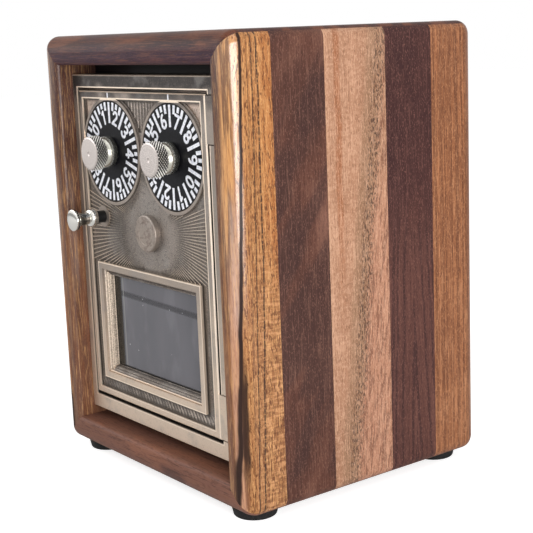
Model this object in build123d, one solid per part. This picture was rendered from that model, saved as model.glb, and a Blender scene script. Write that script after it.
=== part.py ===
from build123d import *
from math import cos, radians, sin
import os

# Post office box bank: a cast bronze combination door in a glued wood case.
# Millimetres, +Z up, the door faces -Y, the origin is under the middle of the whole bank.

# Wood case
case_depth = 113.4
mouth_gap = 3.8                # between the ring and the boards above and below it
wall = 11.1                    # the four mitred boards
front_round = 6.35             # outer edges round the front and the back
side_round = 4.0               # the four long outer edges
mouth_round = 2.2              # inner edge round the mouth
strip_widths = [17.3, 22.6, 27.8, 22.5]    # glued strips of a side wall from the front, the fifth is the rest
slot_length = 38.0
slot_width = 4.8
slot_chamfer = 0.8

# Back panel in its rabbet
back_thickness = 6.0
ledge = 5.6
panel_clear = 0.3
panel_corner = 2.0

# Feet
foot_height = 3.5
foot_radius = 8.5
foot_taper = 0.8
foot_inset = 12.5              # from the case's sides to a foot's centre
foot_hollow = 1.9

# Wood screws
wood_screw_radius = 1.4
wood_screw_head = 2.7
wood_screw_grip = 8.0
pan_height = 1.4
thread_clear = 0.05
pilot_extra = 0.2              # a blind hole runs this much past its screw
shank_clear = 0.2

# Bronze frame, a cast ring set back in the mouth
set_back = 6.8                 # from the case's front to the bronze face
frame_depth = 11.0
frame_clear = 0.2              # between the ring and the side walls
frame_chamfer = 0.4
border_left = 3.3
border_right = 10.7
border_top = 5.0
border_bottom = 5.8
stop_width = 2.0               # lip behind the door's edge
stop_clear = 0.3
rail_depth = 10.0              # wood rails behind the ring's top and bottom borders
rail_clear = 0.3
frame_screw_radius = 1.25
frame_screw_head = 2.3
frame_screw_grip = 6.0
frame_screw_inset = 20.0

# Door casting
door_width = 86.8
door_height = 122.1
door_gap = 0.8                 # on the latch side
hinge_gap = 1.8
end_gap = 1.2                  # above and below the door
door_thickness = 4.5
rim_width = 2.9
rim_chamfer = 0.6
field_depth = 0.9              # the field lies this far behind the rim
spandrel_depth = 0.6           # the corner panels lie this far behind the field
spandrel_inset = 0.6
spandrel_drop = 11.4

# Hinge
knuckle_radius = 3.2
knuckle_height = 16.4
knuckle_inset = 0.5            # from the door's top and bottom to its knuckles
hinge_offset = 4.2             # from the door's right edge to the hinge axis
notch_clear = 0.4
notch_side = 0.8               # lets the knuckle's corner past when the door stands open
pin_radius = 1.25
pin_clear = 0.05
pin_grip = 6.0

# Dials
dial_side = 3.3                # from the door's side edges to the dials
dial_between = 3.8
dial_thickness = 1.5
dial_sink = 0.3                # dial face behind the rim
dial_gap = 0.3                 # round the dial and behind it
dial_head = 3.7                # from the door's top edge down to the dials
ring_width = 1.2
ring_sink = 0.15
index_width = 0.8              # groove in the rim above a dial
index_depth = 0.3
index_inset = 0.4
knob_reach = 9.6               # in front of the door's face
knob_radius = 6.6
knob_head = 4.1
knob_neck = 4.7
knob_bulge = 5.6
knob_bulge_length = 3.1
knob_chamfer = 0.4
knob_bore_depth = 8.4
spindle_radius = 2.5
spindle_clear = 0.05
fit_clear = 0.02
bush_radius = 4.0
bush_flange = 6.0
bush_flange_thickness = 1.2
bush_length = 4.1              # behind the door
collar_radius = 3.8
collar_thickness = 1.0
end_play = 0.2
wheel_inset = 3.6              # the wheel is this much smaller than the dial
wheel_thickness = 4.0
wheel_hub = 6.0
wheel_rim = 4.6
wheel_hollow = 0.9
gate_width = 3.4
gate_depth = 3.0
nut_radius = 4.6
nut_thickness = 3.0

# Centre boss
boss_across = 46.3             # from the door's left edge
boss_drop = 10.0               # its centre is this far below the dials
boss_radius = 7.0
boss_reach = 1.6
boss_round = 0.6
boss_stud = 2.5

# Window
window_side = 7.7
window_up = 7.7
window_headroom = 7.1          # from the window's band up to the lock case
window_proud = 0.4
window_band = 2.6
window_drop = 1.0
window_splay = 2.6
glass_depth = 3.6              # glass face behind the rim
glass_thickness = 2.4
glass_land = 2.0
glass_clear = 0.3
gasket_thickness = 0.6
window_wall = 3.4              # raised wall round the glass at the back
retainer_thickness = 1.0
small_screw_radius = 0.8
small_screw_head = 1.5
small_screw_head_height = 1.1
small_screw_grip = 2.0

# Latch
latch_across = 13.4
latch_rise = 3.3               # above the boss's centre
latch_reach = 14.0             # in front of the door's face
latch_seat_radius = 4.2
latch_seat_sink = 0.2
latch_collar = 2.38
latch_collar_length = 3.4
latch_bead = 3.65
latch_bead_length = 3.4
latch_waist = 2.4
latch_flare_bow = 0.55
latch_disc = 4.15
latch_disc_thickness = 1.1
latch_dome = 0.5
latch_stub = 1.5
latch_stub_length = 6.0
latch_flange = 3.4
latch_turn = 45.0
cam_radius = 6.0
cam_hub = 4.0
cam_end = 2.2
cam_thickness = 3.0
cam_pin = 1.2
cam_bore = 2.0
bolt_height = 5.0
bolt_thickness = 3.0
bolt_grip = 3.6                # engaged behind the ring's lip
bolt_gap = 0.4
bolt_clear = 0.3
bolt_shoulder = 13.2           # from the latch axis to the spring's shoulder
bolt_tail = 1.2
bolt_tab_side = 2.2            # metal beside and above the slot for the cam's pin
bolt_tab_top = 1.4
bolt_chamfer = 0.6
bolt_tail_length = 14.0
spring_wire = 0.3
spring_radius = 2.1
spring_turns = 6
spring_room = 9.0
rib_thickness = 2.0

# Lock case on the door's back
lock_side = 3.6                # from the door's side edges
lock_room = 3.5                # below the boss's nut
lock_top_inset = 2.4
lock_wall = 1.6
lock_corner = 2.0
cover_thickness = 1.2
post_radius = 2.7
post_inset = 3.8
lock_screw_radius = 1.2
lock_screw_head = 2.4
lock_screw_head_height = 1.5
lock_screw_grip = 1.8
fence_thickness = 3.4
fence_height = 2.4
fence_tooth = 2.0
fence_gap = 0.5
fence_eye = 3.5
fence_stud = 2.0
fence_head = 3.2

# Main places, worked out from the sizes above
frame_width = border_left + door_gap + door_width + hinge_gap + border_right
frame_height = border_bottom + border_top + door_height + 2 * end_gap
case_width = frame_width + 2 * (frame_clear + wall)
case_height = frame_height + 2 * (mouth_gap + wall)
front = -(case_depth - (latch_reach - set_back)) / 2     # the latch knob's end counts in the middle
back = front + case_depth
left, right = -case_width / 2, case_width / 2
bottom, top = foot_height, foot_height + case_height
in_left, in_right = left + wall, right - wall
in_bottom, in_top = bottom + wall, top - wall
face = front + set_back                                  # the frame's face and the door's rim
frame_back = face + frame_depth
frame_left, frame_right = in_left + frame_clear, in_right - frame_clear
frame_bottom = (in_bottom + in_top - frame_height) / 2
frame_top = frame_bottom + frame_height
hole_left = frame_left + border_left
hole_right = hole_left + door_gap + door_width + hinge_gap
hole_bottom, hole_top = frame_bottom + border_bottom, frame_top - border_top
door_left, door_low = hole_left + door_gap, hole_bottom + end_gap
door_right, door_top = door_left + door_width, door_low + door_height
door_mid = (door_left + door_right) / 2
field = face + field_depth
door_back = face + door_thickness
hinge_x, hinge_y = door_right + hinge_offset, face + knuckle_radius
knuckle_lows = [door_low + knuckle_inset, door_top - knuckle_inset - knuckle_height]
dial_radius = (door_width - 2 * dial_side - dial_between) / 4
dial_z = door_top - dial_head - dial_radius
dial_xs = {"left": door_left + dial_side + dial_radius, "right": door_right - dial_side - dial_radius}
dial_face = face + dial_sink
dial_floor = dial_face + dial_thickness + dial_gap
bush_end = door_back + bush_length
wheel_radius = dial_radius - wheel_inset
wheel_front = bush_end + end_play + collar_thickness
wheel_back = wheel_front + wheel_thickness
nut_back = wheel_back + nut_thickness
boss_x, boss_z = door_left + boss_across, dial_z - dial_radius - boss_drop
latch_x, latch_z = door_left + latch_across, boss_z + latch_rise
lock_left, lock_right = door_left + lock_side, door_right - lock_side
lock_bottom, lock_top = boss_z - nut_radius - lock_room, door_top - lock_top_inset
lock_back = nut_back + 4 * end_play
post_places = [(x, z) for x in (lock_left + post_inset, lock_right - post_inset)
               for z in (lock_bottom + post_inset, lock_top - post_inset)]
latch_seat = face + latch_seat_sink
bolt_front = frame_back + bolt_gap
bolt_back = bolt_front + bolt_thickness
cam_back = bolt_front - bolt_gap
cam_front = cam_back - cam_thickness
bolt_tip = hole_left + stop_width - bolt_grip
cam_pin_x = latch_x - cam_radius * sin(radians(latch_turn / 2))
cam_pin_z = latch_z + cam_radius * cos(radians(latch_turn / 2))
shoulder_x = latch_x + bolt_shoulder
rib_x = shoulder_x + spring_room
fence_top = dial_z - wheel_radius - fence_gap
fence_z = fence_top - fence_tooth - fence_height / 2
fence_x = lock_right - lock_wall - fence_eye - fence_gap
fence_front = wheel_front + (wheel_thickness - fence_thickness) / 2
window_width = door_width - 2 * window_side
window_height = lock_bottom - window_headroom - door_low - window_up
window_z = door_low + window_up + window_height / 2
sight_width = window_width - 2 * (window_band + window_splay)
sight_height = window_height - 2 * (window_band + window_splay)
glass_front = face + glass_depth
glass_back = glass_front + glass_thickness
wall_back = glass_back + gasket_thickness
wall_width = sight_width + 2 * (glass_land + window_wall)
wall_height = sight_height + 2 * (glass_land + window_wall)
retainer_back = wall_back + retainer_thickness
rail_back = frame_back + rail_depth
back_front = back - back_thickness


def block(x0, x1, y0, y1, z0, z1):
    return Pos((x0 + x1) / 2, (y0 + y1) / 2, (z0 + z1) / 2) * Box(x1 - x0, y1 - y0, z1 - z0)


# A flat outline in X and Z, carried from y0 back to y1
def slab(outline, y0, y1):
    seat = Plane(origin=(0, y1, 0), x_dir=(1, 0, 0), z_dir=(0, -1, 0))
    return extrude(seat * outline, amount=y1 - y0)


# A round rod along Y
def rod(x, z, radius, y0, y1):
    return Pos(x, (y0 + y1) / 2, z) * Rot(90, 0, 0) * Cylinder(radius, y1 - y0)


# A round rod along X on the bolt's own line
def cross_rod(radius, x0, x1):
    middle = Pos((x0 + x1) / 2, (bolt_front + bolt_back) / 2, latch_z)
    return middle * Rot(0, 90, 0) * Cylinder(radius, x1 - x0)


# A half outline of radius and reach, turned about an axis that points out of the door
def turned(outline, x, y, z):
    return Pos(x, y, z) * Rot(90, 0, 0) * revolve(Plane.XZ * make_face(outline), Axis.Z)


# A rectangle in X and Z with round corners
def plate(x, z, width, height, radius):
    return Pos(x, z) * RectangleRounded(width, height, radius)


# A pan head screw along Y whose head's underside is at y, with its shank towards -Y
def pan_screw(x, z, y, shank, length, head, height):
    return rod(x, z, shank, y - length, y) + rod(x, z, head, y, y + height)


def save(name, *solids):
    shape = solids[0] if len(solids) == 1 else Compound(children=list(solids))
    shape.label = name
    export_step(shape, f"parts/{name}.step")


# Screw places
def back_screw_places():
    return [(x, z) for x in (in_left - ledge / 2, in_right + ledge / 2)
            for z in (in_bottom + wall, in_top - wall)]


def foot_places():
    return {f"foot_{end}_{side}": (x, y)
            for side, x in (("left", left + foot_inset), ("right", right - foot_inset))
            for end, y in (("front", front + foot_inset), ("back", back - foot_inset))}


def frame_screw_places():
    return [(x, z) for x in (frame_left + frame_screw_inset, frame_right - frame_screw_inset)
            for z in ((frame_bottom + hole_bottom) / 2, (hole_top + frame_top) / 2)]


def retainer_screw_places():
    half_width, half_height = (wall_width - window_wall) / 2, (wall_height - window_wall) / 2
    return [(door_mid + i * half_width, window_z + j * half_height) for i in (-1, 1) for j in (-1, 1)]


# Wood case: one block with its mouth, rabbet and slot, then cut on its mitres and glue lines
def whole_case():
    body = block(left, right, front, back, bottom, top)
    body = fillet(body.edges().filter_by(Axis.Y), side_round)
    rims = body.faces().sort_by(Axis.Y)[0].edges() + body.faces().sort_by(Axis.Y)[-1].edges()
    body = fillet(rims, front_round)
    body -= block(in_left, in_right, front - 1, back + 1, in_bottom, in_top)
    body = fillet(body.faces().sort_by(Axis.Y)[0].inner_wires()[0].edges(), mouth_round)
    body -= block(in_left - ledge, in_right + ledge, back_front, back + 1, in_bottom - ledge, in_top + ledge)
    for x, z in back_screw_places():
        body -= rod(x, z, wood_screw_radius + thread_clear, back_front - wood_screw_grip, back_front + 1)
    for x, y in foot_places().values():
        pilot = Cylinder(wood_screw_radius + thread_clear, wood_screw_grip)
        body -= Pos(x, y, bottom + wood_screw_grip / 2) * pilot
    return body - coin_slot()


def coin_slot():
    middle = (front + back) / 2
    outline = Pos(0, middle) * SlotOverall(slot_length, slot_width)
    lead = Pos(0, middle) * SlotOverall(slot_length + 2 * slot_chamfer, slot_width + 2 * slot_chamfer)
    way = extrude(Plane.XY.offset(in_top - 1) * outline, amount=wall + 2)
    funnel = loft(Sketch() + [Plane.XY.offset(top - slot_chamfer) * outline, Plane.XY.offset(top) * lead])
    return way + funnel


# The wedge of the case that one board takes up between its mitres
def board_wedge(side):
    out, deep = 1, wall + 3
    low_left, low_right = (left - out, bottom - out), (right + out, bottom - out)
    high_left, high_right = (left - out, top + out), (right + out, top + out)
    in_low_left, in_low_right = (left + deep, bottom + deep), (right - deep, bottom + deep)
    in_high_left, in_high_right = (left + deep, top - deep), (right - deep, top - deep)
    outlines = {
        "right": [low_right, high_right, in_high_right, in_low_right],
        "left": [low_left, in_low_left, in_high_left, high_left],
        "top": [high_left, in_high_left, in_high_right, high_right],
        "bottom": [low_left, low_right, in_low_right, in_low_left],
    }
    return slab(make_face(Polyline(*outlines[side], close=True)), front - 1, back + 1)


def wood_boards():
    case = whole_case()
    save("top_board", case & board_wedge("top"))
    save("bottom_board", case & board_wedge("bottom"))
    for side in ("left", "right"):
        board = case & board_wedge(side)
        glue_lines = [front - 1] + [front + sum(strip_widths[:i + 1]) for i in range(4)] + [back + 1]
        for i in range(5):
            strip = block(left - 1, right + 1, glue_lines[i], glue_lines[i + 1], bottom - 1, top + 1)
            save(f"{side}_strip_{i + 1}", board & strip)


def back_panel():
    width = in_right - in_left + 2 * (ledge - panel_clear)
    height = in_top - in_bottom + 2 * (ledge - panel_clear)
    middle_z = (in_bottom + in_top) / 2
    panel = slab(plate(0, middle_z, width, height, panel_corner), back_front, back)
    screws = []
    sink = wood_screw_head - wood_screw_radius
    for x, z in back_screw_places():
        outline = [(0, 0), (wood_screw_head, 0), (wood_screw_radius, -sink),
                   (wood_screw_radius, -back_thickness - wood_screw_grip + 1),
                   (0, -back_thickness - wood_screw_grip + 1)]
        screw = Pos(x, back - thread_clear, z) * Rot(-90, 0, 0) * revolve(
            Plane.XZ * make_face(Polyline(*outline, close=True)), Axis.Z)
        hole = wood_screw_radius + shank_clear
        cut = [(0, 1), (wood_screw_head + shank_clear, 1), (wood_screw_head + shank_clear, 0), (hole, -sink),
               (hole, -back_thickness - 1), (0, -back_thickness - 1)]
        panel -= Pos(x, back, z) * Rot(-90, 0, 0) * revolve(
            Plane.XZ * make_face(Polyline(*cut, close=True)), Axis.Z)
        screws.append(screw)
    save("back_panel", panel)
    save("back_panel_screws", *screws)


def feet():
    screws = []
    for name, (x, y) in foot_places().items():
        foot = Pos(x, y, 0) * Cone(foot_radius - foot_taper, foot_radius, foot_height,
                                   align=(Align.CENTER, Align.CENTER, Align.MIN))
        foot = fillet(foot.edges().sort_by(Axis.Z)[0], foot_taper)
        foot -= Pos(x, y, 0) * Cylinder(wood_screw_head + 2 * shank_clear, 2 * foot_hollow)
        foot -= Pos(x, y, 0) * Cylinder(wood_screw_radius + shank_clear, 3 * foot_height)
        save(name, foot)
        length = foot_height - foot_hollow + wood_screw_grip - 1
        shank = Pos(x, y, foot_hollow + length / 2) * Cylinder(wood_screw_radius, length)
        screws.append(shank + Pos(x, y, foot_hollow - pan_height / 2) * Cylinder(wood_screw_head, pan_height))
    save("foot_screws", *screws)


# Bronze frame: a cast ring with a stop lip, two hinge notches and holes for the pins
def door_frame():
    ring = block(frame_left, frame_right, face, frame_back, frame_bottom, frame_top)
    ring = chamfer(ring.faces().sort_by(Axis.Y)[0].edges(), frame_chamfer)
    stop_front = door_back + stop_clear
    ring -= block(hole_left, hole_right, face - 1, stop_front, hole_bottom, hole_top)
    ring -= block(hole_left + stop_width, hole_right, face, frame_back + 1,
                  hole_bottom + stop_width, hole_top - stop_width)
    for low in knuckle_lows:
        ring -= block(hole_right - 1, hinge_x + knuckle_radius + notch_side,
                      face - 1, hinge_y + knuckle_radius + notch_clear,
                      low - notch_clear, low + knuckle_height + notch_clear)
    for low, high in pin_spans():
        ring -= Pos(hinge_x, hinge_y, (low + high) / 2) * Cylinder(pin_radius + fit_clear, high - low + 1)
    for x, z in frame_screw_places():
        pilot_end = frame_back - frame_screw_grip - 1
        ring -= rod(x, z, frame_screw_radius + thread_clear, pilot_end, frame_back + 1)
    save("door_frame", ring)


# Each pin starts at the ring's edge and runs past its knuckle into the ring
def pin_spans():
    lower, upper = knuckle_lows
    return [(frame_bottom + end_play, lower + knuckle_height + pin_grip),
            (upper - pin_grip, frame_top - end_play)]


def hinge_pins():
    for name, (low, high) in zip(("hinge_pin_lower", "hinge_pin_upper"), pin_spans()):
        save(name, Pos(hinge_x, hinge_y, (low + high) / 2) * Cylinder(pin_radius, high - low))


def rails():
    rail_spans = {"rail_bottom": (in_bottom, hole_bottom - rail_clear),
                  "rail_top": (hole_top + rail_clear, in_top)}
    screws = []
    for name, (low, high) in rail_spans.items():
        rail = block(in_left, in_right, frame_back, rail_back, low, high)
        for x, z in frame_screw_places():
            if low < z < high:
                rail -= rod(x, z, frame_screw_radius + shank_clear, frame_back - 1, rail_back + 1)
                screws.append(pan_screw(x, z, rail_back, frame_screw_radius, rail_depth + frame_screw_grip,
                                        frame_screw_head, pan_height))
        save(name, rail)
    save("frame_screws", *screws)


# Door casting
def door_panel():
    body = block(door_left, door_right, face, door_back, door_low, door_top)
    body = chamfer(body.faces().sort_by(Axis.Y)[0].edges(), rim_chamfer)
    body -= block(door_left + rim_width, door_right - rim_width, face - 1, field,
                  door_low + rim_width, door_top - rim_width)
    body -= slab(spandrels(), field - 1, field + spandrel_depth)
    body += window_relief()
    for x in dial_xs.values():
        body += rod(x, dial_z, dial_radius + dial_gap + ring_width, face + ring_sink, door_back)
        body -= rod(x, dial_z, dial_radius + dial_gap, face - 1, dial_floor)
        body -= rod(x, dial_z, bush_radius + fit_clear, face - 1, door_back + 1)
        body -= block(x - index_width / 2, x + index_width / 2, face - 1, face + index_depth,
                      door_top - rim_width + index_inset, door_top - rim_chamfer)
    body += rod(latch_x, latch_z, latch_seat_radius, latch_seat, door_back)
    body -= rod(latch_x, latch_z, latch_collar + spindle_clear, face - 1, door_back + 1)
    body -= rod(boss_x, boss_z, boss_stud + thread_clear, face - 1, door_back + 1)
    body -= window_holes()
    for x, z in post_places + [(fence_x, fence_z)]:
        pilot_end = door_back - lock_screw_grip - pilot_extra
        body -= rod(x, z, lock_screw_radius + thread_clear, pilot_end, door_back + 1)
    for low in knuckle_lows:
        body += block(door_right - 1, hinge_x, face, door_back, low, low + knuckle_height)
        middle = low + knuckle_height / 2
        body += Pos(hinge_x, hinge_y, middle) * Cylinder(knuckle_radius, knuckle_height)
        body -= Pos(hinge_x, hinge_y, middle) * Cylinder(pin_radius + pin_clear, knuckle_height + 1)
    save("door_panel", body)


# The three sunk corner panels above and between the dials
def spandrels():
    high = door_top - rim_width - spandrel_inset
    low = high - spandrel_drop
    width = door_width - 2 * (rim_width + spandrel_inset)
    area = Pos(door_mid, (low + high) / 2) * Rectangle(width, spandrel_drop)
    for x in dial_xs.values():
        area -= Pos(x, dial_z) * Circle(dial_radius + dial_gap + ring_width + spandrel_inset)
    return area


# The window's raised band in front and the wall round the glass at the back
def window_relief():
    middle = Pos(door_mid, window_z)
    band = slab(middle * Rectangle(window_width, window_height), face - window_proud, door_back)
    return band + slab(middle * Rectangle(wall_width, wall_height), door_back, wall_back)


# The stepped and splayed sight hole, the seat of the glass and the retainer's screw holes
def window_holes():
    drop = face - window_proud + window_drop
    middle = Pos(door_mid, window_z)
    mouth = middle * Rectangle(window_width - 2 * window_band, window_height - 2 * window_band)
    sight = middle * Rectangle(sight_width, sight_height)
    seats = [Plane(origin=(0, y, 0), x_dir=(1, 0, 0), z_dir=(0, -1, 0)) for y in (drop, glass_front)]
    cut = slab(mouth, face - 2, drop) + loft(Sketch() + [seats[0] * mouth, seats[1] * sight])
    glass_seat = middle * Rectangle(sight_width + 2 * glass_land, sight_height + 2 * glass_land)
    cut += slab(sight, glass_front - 1, glass_front + 1) + slab(glass_seat, glass_front, wall_back + 1)
    for x, z in retainer_screw_places():
        pilot_end = wall_back - small_screw_grip - pilot_extra
        cut += rod(x, z, small_screw_radius + thread_clear, pilot_end, wall_back + 1)
    return cut


def window_parts():
    width = sight_width + 2 * (glass_land - glass_clear)
    height = sight_height + 2 * (glass_land - glass_clear)
    outer = Pos(door_mid, window_z) * Rectangle(width, height)
    sight = Pos(door_mid, window_z) * Rectangle(sight_width, sight_height)
    save("window_glass", slab(outer, glass_front, glass_back))
    save("window_gasket", slab(outer - sight, glass_back, wall_back))
    retainer = slab(plate(door_mid, window_z, wall_width, wall_height, small_screw_head) - sight,
                    wall_back, retainer_back)
    screws = []
    length = retainer_thickness + small_screw_grip
    for x, z in retainer_screw_places():
        retainer -= rod(x, z, small_screw_radius + shank_clear, wall_back - 1, retainer_back + 1)
        screws.append(pan_screw(x, z, retainer_back, small_screw_radius, length,
                                small_screw_head, small_screw_head_height))
    save("window_retainer", retainer)
    save("retainer_screws", *screws)


def centre_boss():
    height = field - face + boss_reach
    head = rod(boss_x, boss_z, boss_radius, field - height, field)
    head = fillet(head.edges().sort_by(Axis.Y)[0], boss_round)
    stud_end = door_back + nut_thickness + end_play
    save("centre_boss", head + rod(boss_x, boss_z, boss_stud, field, stud_end))
    nut = slab(Pos(boss_x, boss_z) * RegularPolygon(nut_radius, 6), door_back, door_back + nut_thickness)
    save("boss_nut", nut - rod(boss_x, boss_z, boss_stud + thread_clear, door_back - 1, stud_end))


# One dial's own pieces and its bush, which stays in the door
def dial_parts(side):
    x = dial_xs[side]
    bore = spindle_radius + fit_clear
    disc = rod(x, dial_z, dial_radius, dial_face, dial_face + dial_thickness)
    save(f"{side}_dial", disc - rod(x, dial_z, bore, face - 1, door_back))
    save(f"{side}_knob", dial_knob(x) - rod(x, dial_z, bore, dial_face - knob_bore_depth, dial_face + 1))
    shaft = rod(x, dial_z, spindle_radius, dial_face - knob_bore_depth + end_play, nut_back + end_play)
    shaft += rod(x, dial_z, collar_radius, bush_end + end_play, wheel_front)
    save(f"{side}_spindle", shaft)
    bush = rod(x, dial_z, bush_radius, dial_floor, bush_end)
    bush += rod(x, dial_z, bush_flange, door_back, door_back + bush_flange_thickness)
    save(f"{side}_bush", bush - rod(x, dial_z, spindle_radius + spindle_clear, face, bush_end + 1))
    save(f"{side}_wheel", tumbler_wheel(x))
    nut = slab(Pos(x, dial_z) * RegularPolygon(nut_radius, 6), wheel_back, nut_back)
    save(f"{side}_wheel_nut", nut - rod(x, dial_z, bore, wheel_back - 1, nut_back + 1))


# Knob: a bulged collar on the dial, a neck and a chamfered head
def dial_knob(x):
    reach = knob_reach + dial_sink
    neck_top = reach - knob_head
    outline = [
        Line((0, 0), (knob_neck, 0)),
        ThreePointArc((knob_neck, 0), (knob_bulge, knob_bulge_length / 2), (knob_neck, knob_bulge_length)),
        Line((knob_neck, knob_bulge_length), (knob_neck, neck_top)),
        Polyline((knob_neck, neck_top), (knob_radius - knob_chamfer, neck_top),
                 (knob_radius, neck_top + knob_chamfer), (knob_radius, reach - knob_chamfer),
                 (knob_radius - knob_chamfer, reach), (0, reach), (0, 0)),
    ]
    return turned(Curve() + outline, x, dial_face, dial_z)


# Tumbler wheel: a hub and a rim with a thinner web between them, and the gate for the fence
def tumbler_wheel(x):
    wheel = rod(x, dial_z, wheel_radius, wheel_front, wheel_back)
    hollow = Pos(x, dial_z) * (Circle(wheel_radius - wheel_rim) - Circle(wheel_hub))
    wheel -= slab(hollow, wheel_front - 1, wheel_front + wheel_hollow)
    wheel -= slab(hollow, wheel_back - wheel_hollow, wheel_back + 1)
    wheel -= rod(x, dial_z, spindle_radius + fit_clear, wheel_front - 1, wheel_back + 1)
    gate_floor = dial_z - wheel_radius + gate_depth
    return wheel - block(x - gate_width / 2, x + gate_width / 2, wheel_front - 1, wheel_back + 1,
                         gate_floor - 2 * gate_depth, gate_floor)


def latch_parts():
    save("latch_knob", latch_knob())
    shaft = rod(latch_x, latch_z, latch_stub, face - latch_collar_length - latch_stub_length, face)
    shaft += rod(latch_x, latch_z, latch_collar, face - latch_collar_length, cam_front)
    shaft += rod(latch_x, latch_z, latch_flange, door_back + end_play, cam_front)
    shaft += rod(latch_x, latch_z, cam_bore, cam_front, cam_back)
    save("latch_spindle", shaft)
    arm = [(latch_x - cam_hub, latch_z), (latch_x + cam_hub, latch_z),
           (cam_pin_x + cam_end, cam_pin_z), (cam_pin_x - cam_end, cam_pin_z)]
    outline = (Pos(latch_x, latch_z) * Circle(cam_hub) + Pos(cam_pin_x, cam_pin_z) * Circle(cam_end)
               + make_face(Polyline(*arm, close=True)))
    cam = slab(outline, cam_front, cam_back)
    cam -= rod(latch_x, latch_z, cam_bore + fit_clear, cam_front - 1, cam_back + 1)
    cam += rod(cam_pin_x, cam_pin_z, cam_pin, cam_back - 1, bolt_back - end_play)
    save("latch_cam", cam)


# Latch knob: a bored bead on the collar, a waist and a slightly domed disc
def latch_knob():
    reach = latch_reach - latch_collar_length
    disc_low = reach - latch_dome - latch_disc_thickness
    flare = (disc_low - latch_bead_length) / 3
    bore = latch_stub + fit_clear
    bore_depth = latch_stub_length + end_play
    dome_radius = (latch_disc ** 2 + latch_dome ** 2) / (2 * latch_dome)
    outline = [
        Line((bore, 0), (latch_collar, 0)),
        ThreePointArc((latch_collar, 0), (latch_bead, latch_bead_length / 2),
                      (latch_waist, latch_bead_length)),
        Line((latch_waist, latch_bead_length), (latch_waist, disc_low - 2 * flare)),
        ThreePointArc((latch_waist, disc_low - 2 * flare),
                      (latch_waist + latch_flare_bow, disc_low - flare / 2), (latch_disc, disc_low)),
        Line((latch_disc, disc_low), (latch_disc, reach - latch_dome)),
        RadiusArc((latch_disc, reach - latch_dome), (0, reach), -dome_radius),
        Polyline((0, reach), (0, bore_depth), (bore, bore_depth), (bore, 0)),
    ]
    return turned(Curve() + outline, latch_x, face - latch_collar_length, latch_z)


# Bolt: a flat bar with a slotted tab for the cam's pin and a round tail inside the spring
def latch_bolt():
    half = bolt_height / 2
    slot_radius = cam_pin + bolt_clear
    pin_low, pin_high = cam_pin_z, latch_z + cam_radius
    tab_half = slot_radius + bolt_tab_side
    bar = block(bolt_tip, shoulder_x, bolt_front, bolt_back, latch_z - half, latch_z + half)
    bar += block(cam_pin_x - tab_half, cam_pin_x + tab_half, bolt_front, bolt_back,
                 latch_z, pin_high + slot_radius + bolt_tab_top)
    middle = (pin_low + pin_high) / 2
    slot = Rot(0, 0, 90) * SlotOverall(pin_high - pin_low + 2 * slot_radius, 2 * slot_radius)
    bar -= slab(Pos(cam_pin_x, middle) * slot, bolt_front - 1, bolt_back + 1)
    tip_edges = bar.edges().filter_by(Axis.Z).sort_by(Axis.X)[0:2]
    bar = chamfer(tip_edges, bolt_chamfer)
    tail = cross_rod(bolt_tail, shoulder_x, shoulder_x + bolt_tail_length)
    save("latch_bolt", bar + tail)


def latch_spring():
    room = spring_room - 2 * (spring_wire + bolt_clear)
    path = Helix(room / spring_turns, room, spring_radius)
    wire = Plane(origin=path @ 0, z_dir=path % 0) * RegularPolygon(spring_wire, 6)
    coil = sweep(wire, path=path, is_frenet=True)
    start = shoulder_x + spring_wire + bolt_clear
    save("latch_spring", Pos(start, (bolt_front + bolt_back) / 2, latch_z) * Rot(0, 90, 0) * coil)


# Lock case: a rim with corner posts, a slot for the bolt and the rib that holds the spring
def lock_case():
    middle_z = (lock_bottom + lock_top) / 2
    width, height = lock_right - lock_left, lock_top - lock_bottom
    outer = plate(door_mid, middle_z, width, height, lock_corner)
    inner = Pos(door_mid, middle_z) * Rectangle(width - 2 * lock_wall, height - 2 * lock_wall)
    body = slab(outer - inner, door_back, lock_back)
    for x, z in post_places:
        body += slab(outer & (Pos(x, z) * Rectangle(2 * post_radius, 2 * post_radius)), door_back, lock_back)
    half = bolt_height / 2 + bolt_clear
    body -= block(lock_left - 1, lock_left + lock_wall + 1, bolt_front - bolt_clear, bolt_back + bolt_clear,
                  latch_z - half, latch_z + half)
    rib = block(rib_x, rib_x + rib_thickness, door_back, lock_back, lock_bottom, latch_z + bolt_height)
    body += rib - cross_rod(bolt_tail + bolt_clear, rib_x - 1, rib_x + rib_thickness + 1)
    cover = slab(outer, lock_back, lock_back + cover_thickness)
    screws = []
    length = cover_thickness + lock_back - door_back + lock_screw_grip
    for x, z in post_places:
        body -= rod(x, z, lock_screw_radius + shank_clear, door_back - 1, lock_back + 1)
        cover -= rod(x, z, lock_screw_radius + shank_clear, lock_back - 1, lock_back + 2 * cover_thickness)
        screws.append(pan_screw(x, z, lock_back + cover_thickness, lock_screw_radius, length, lock_screw_head,
                                lock_screw_head_height))
    save("lock_case", body)
    save("lock_cover", cover)
    save("lock_screws", *screws)


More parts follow.
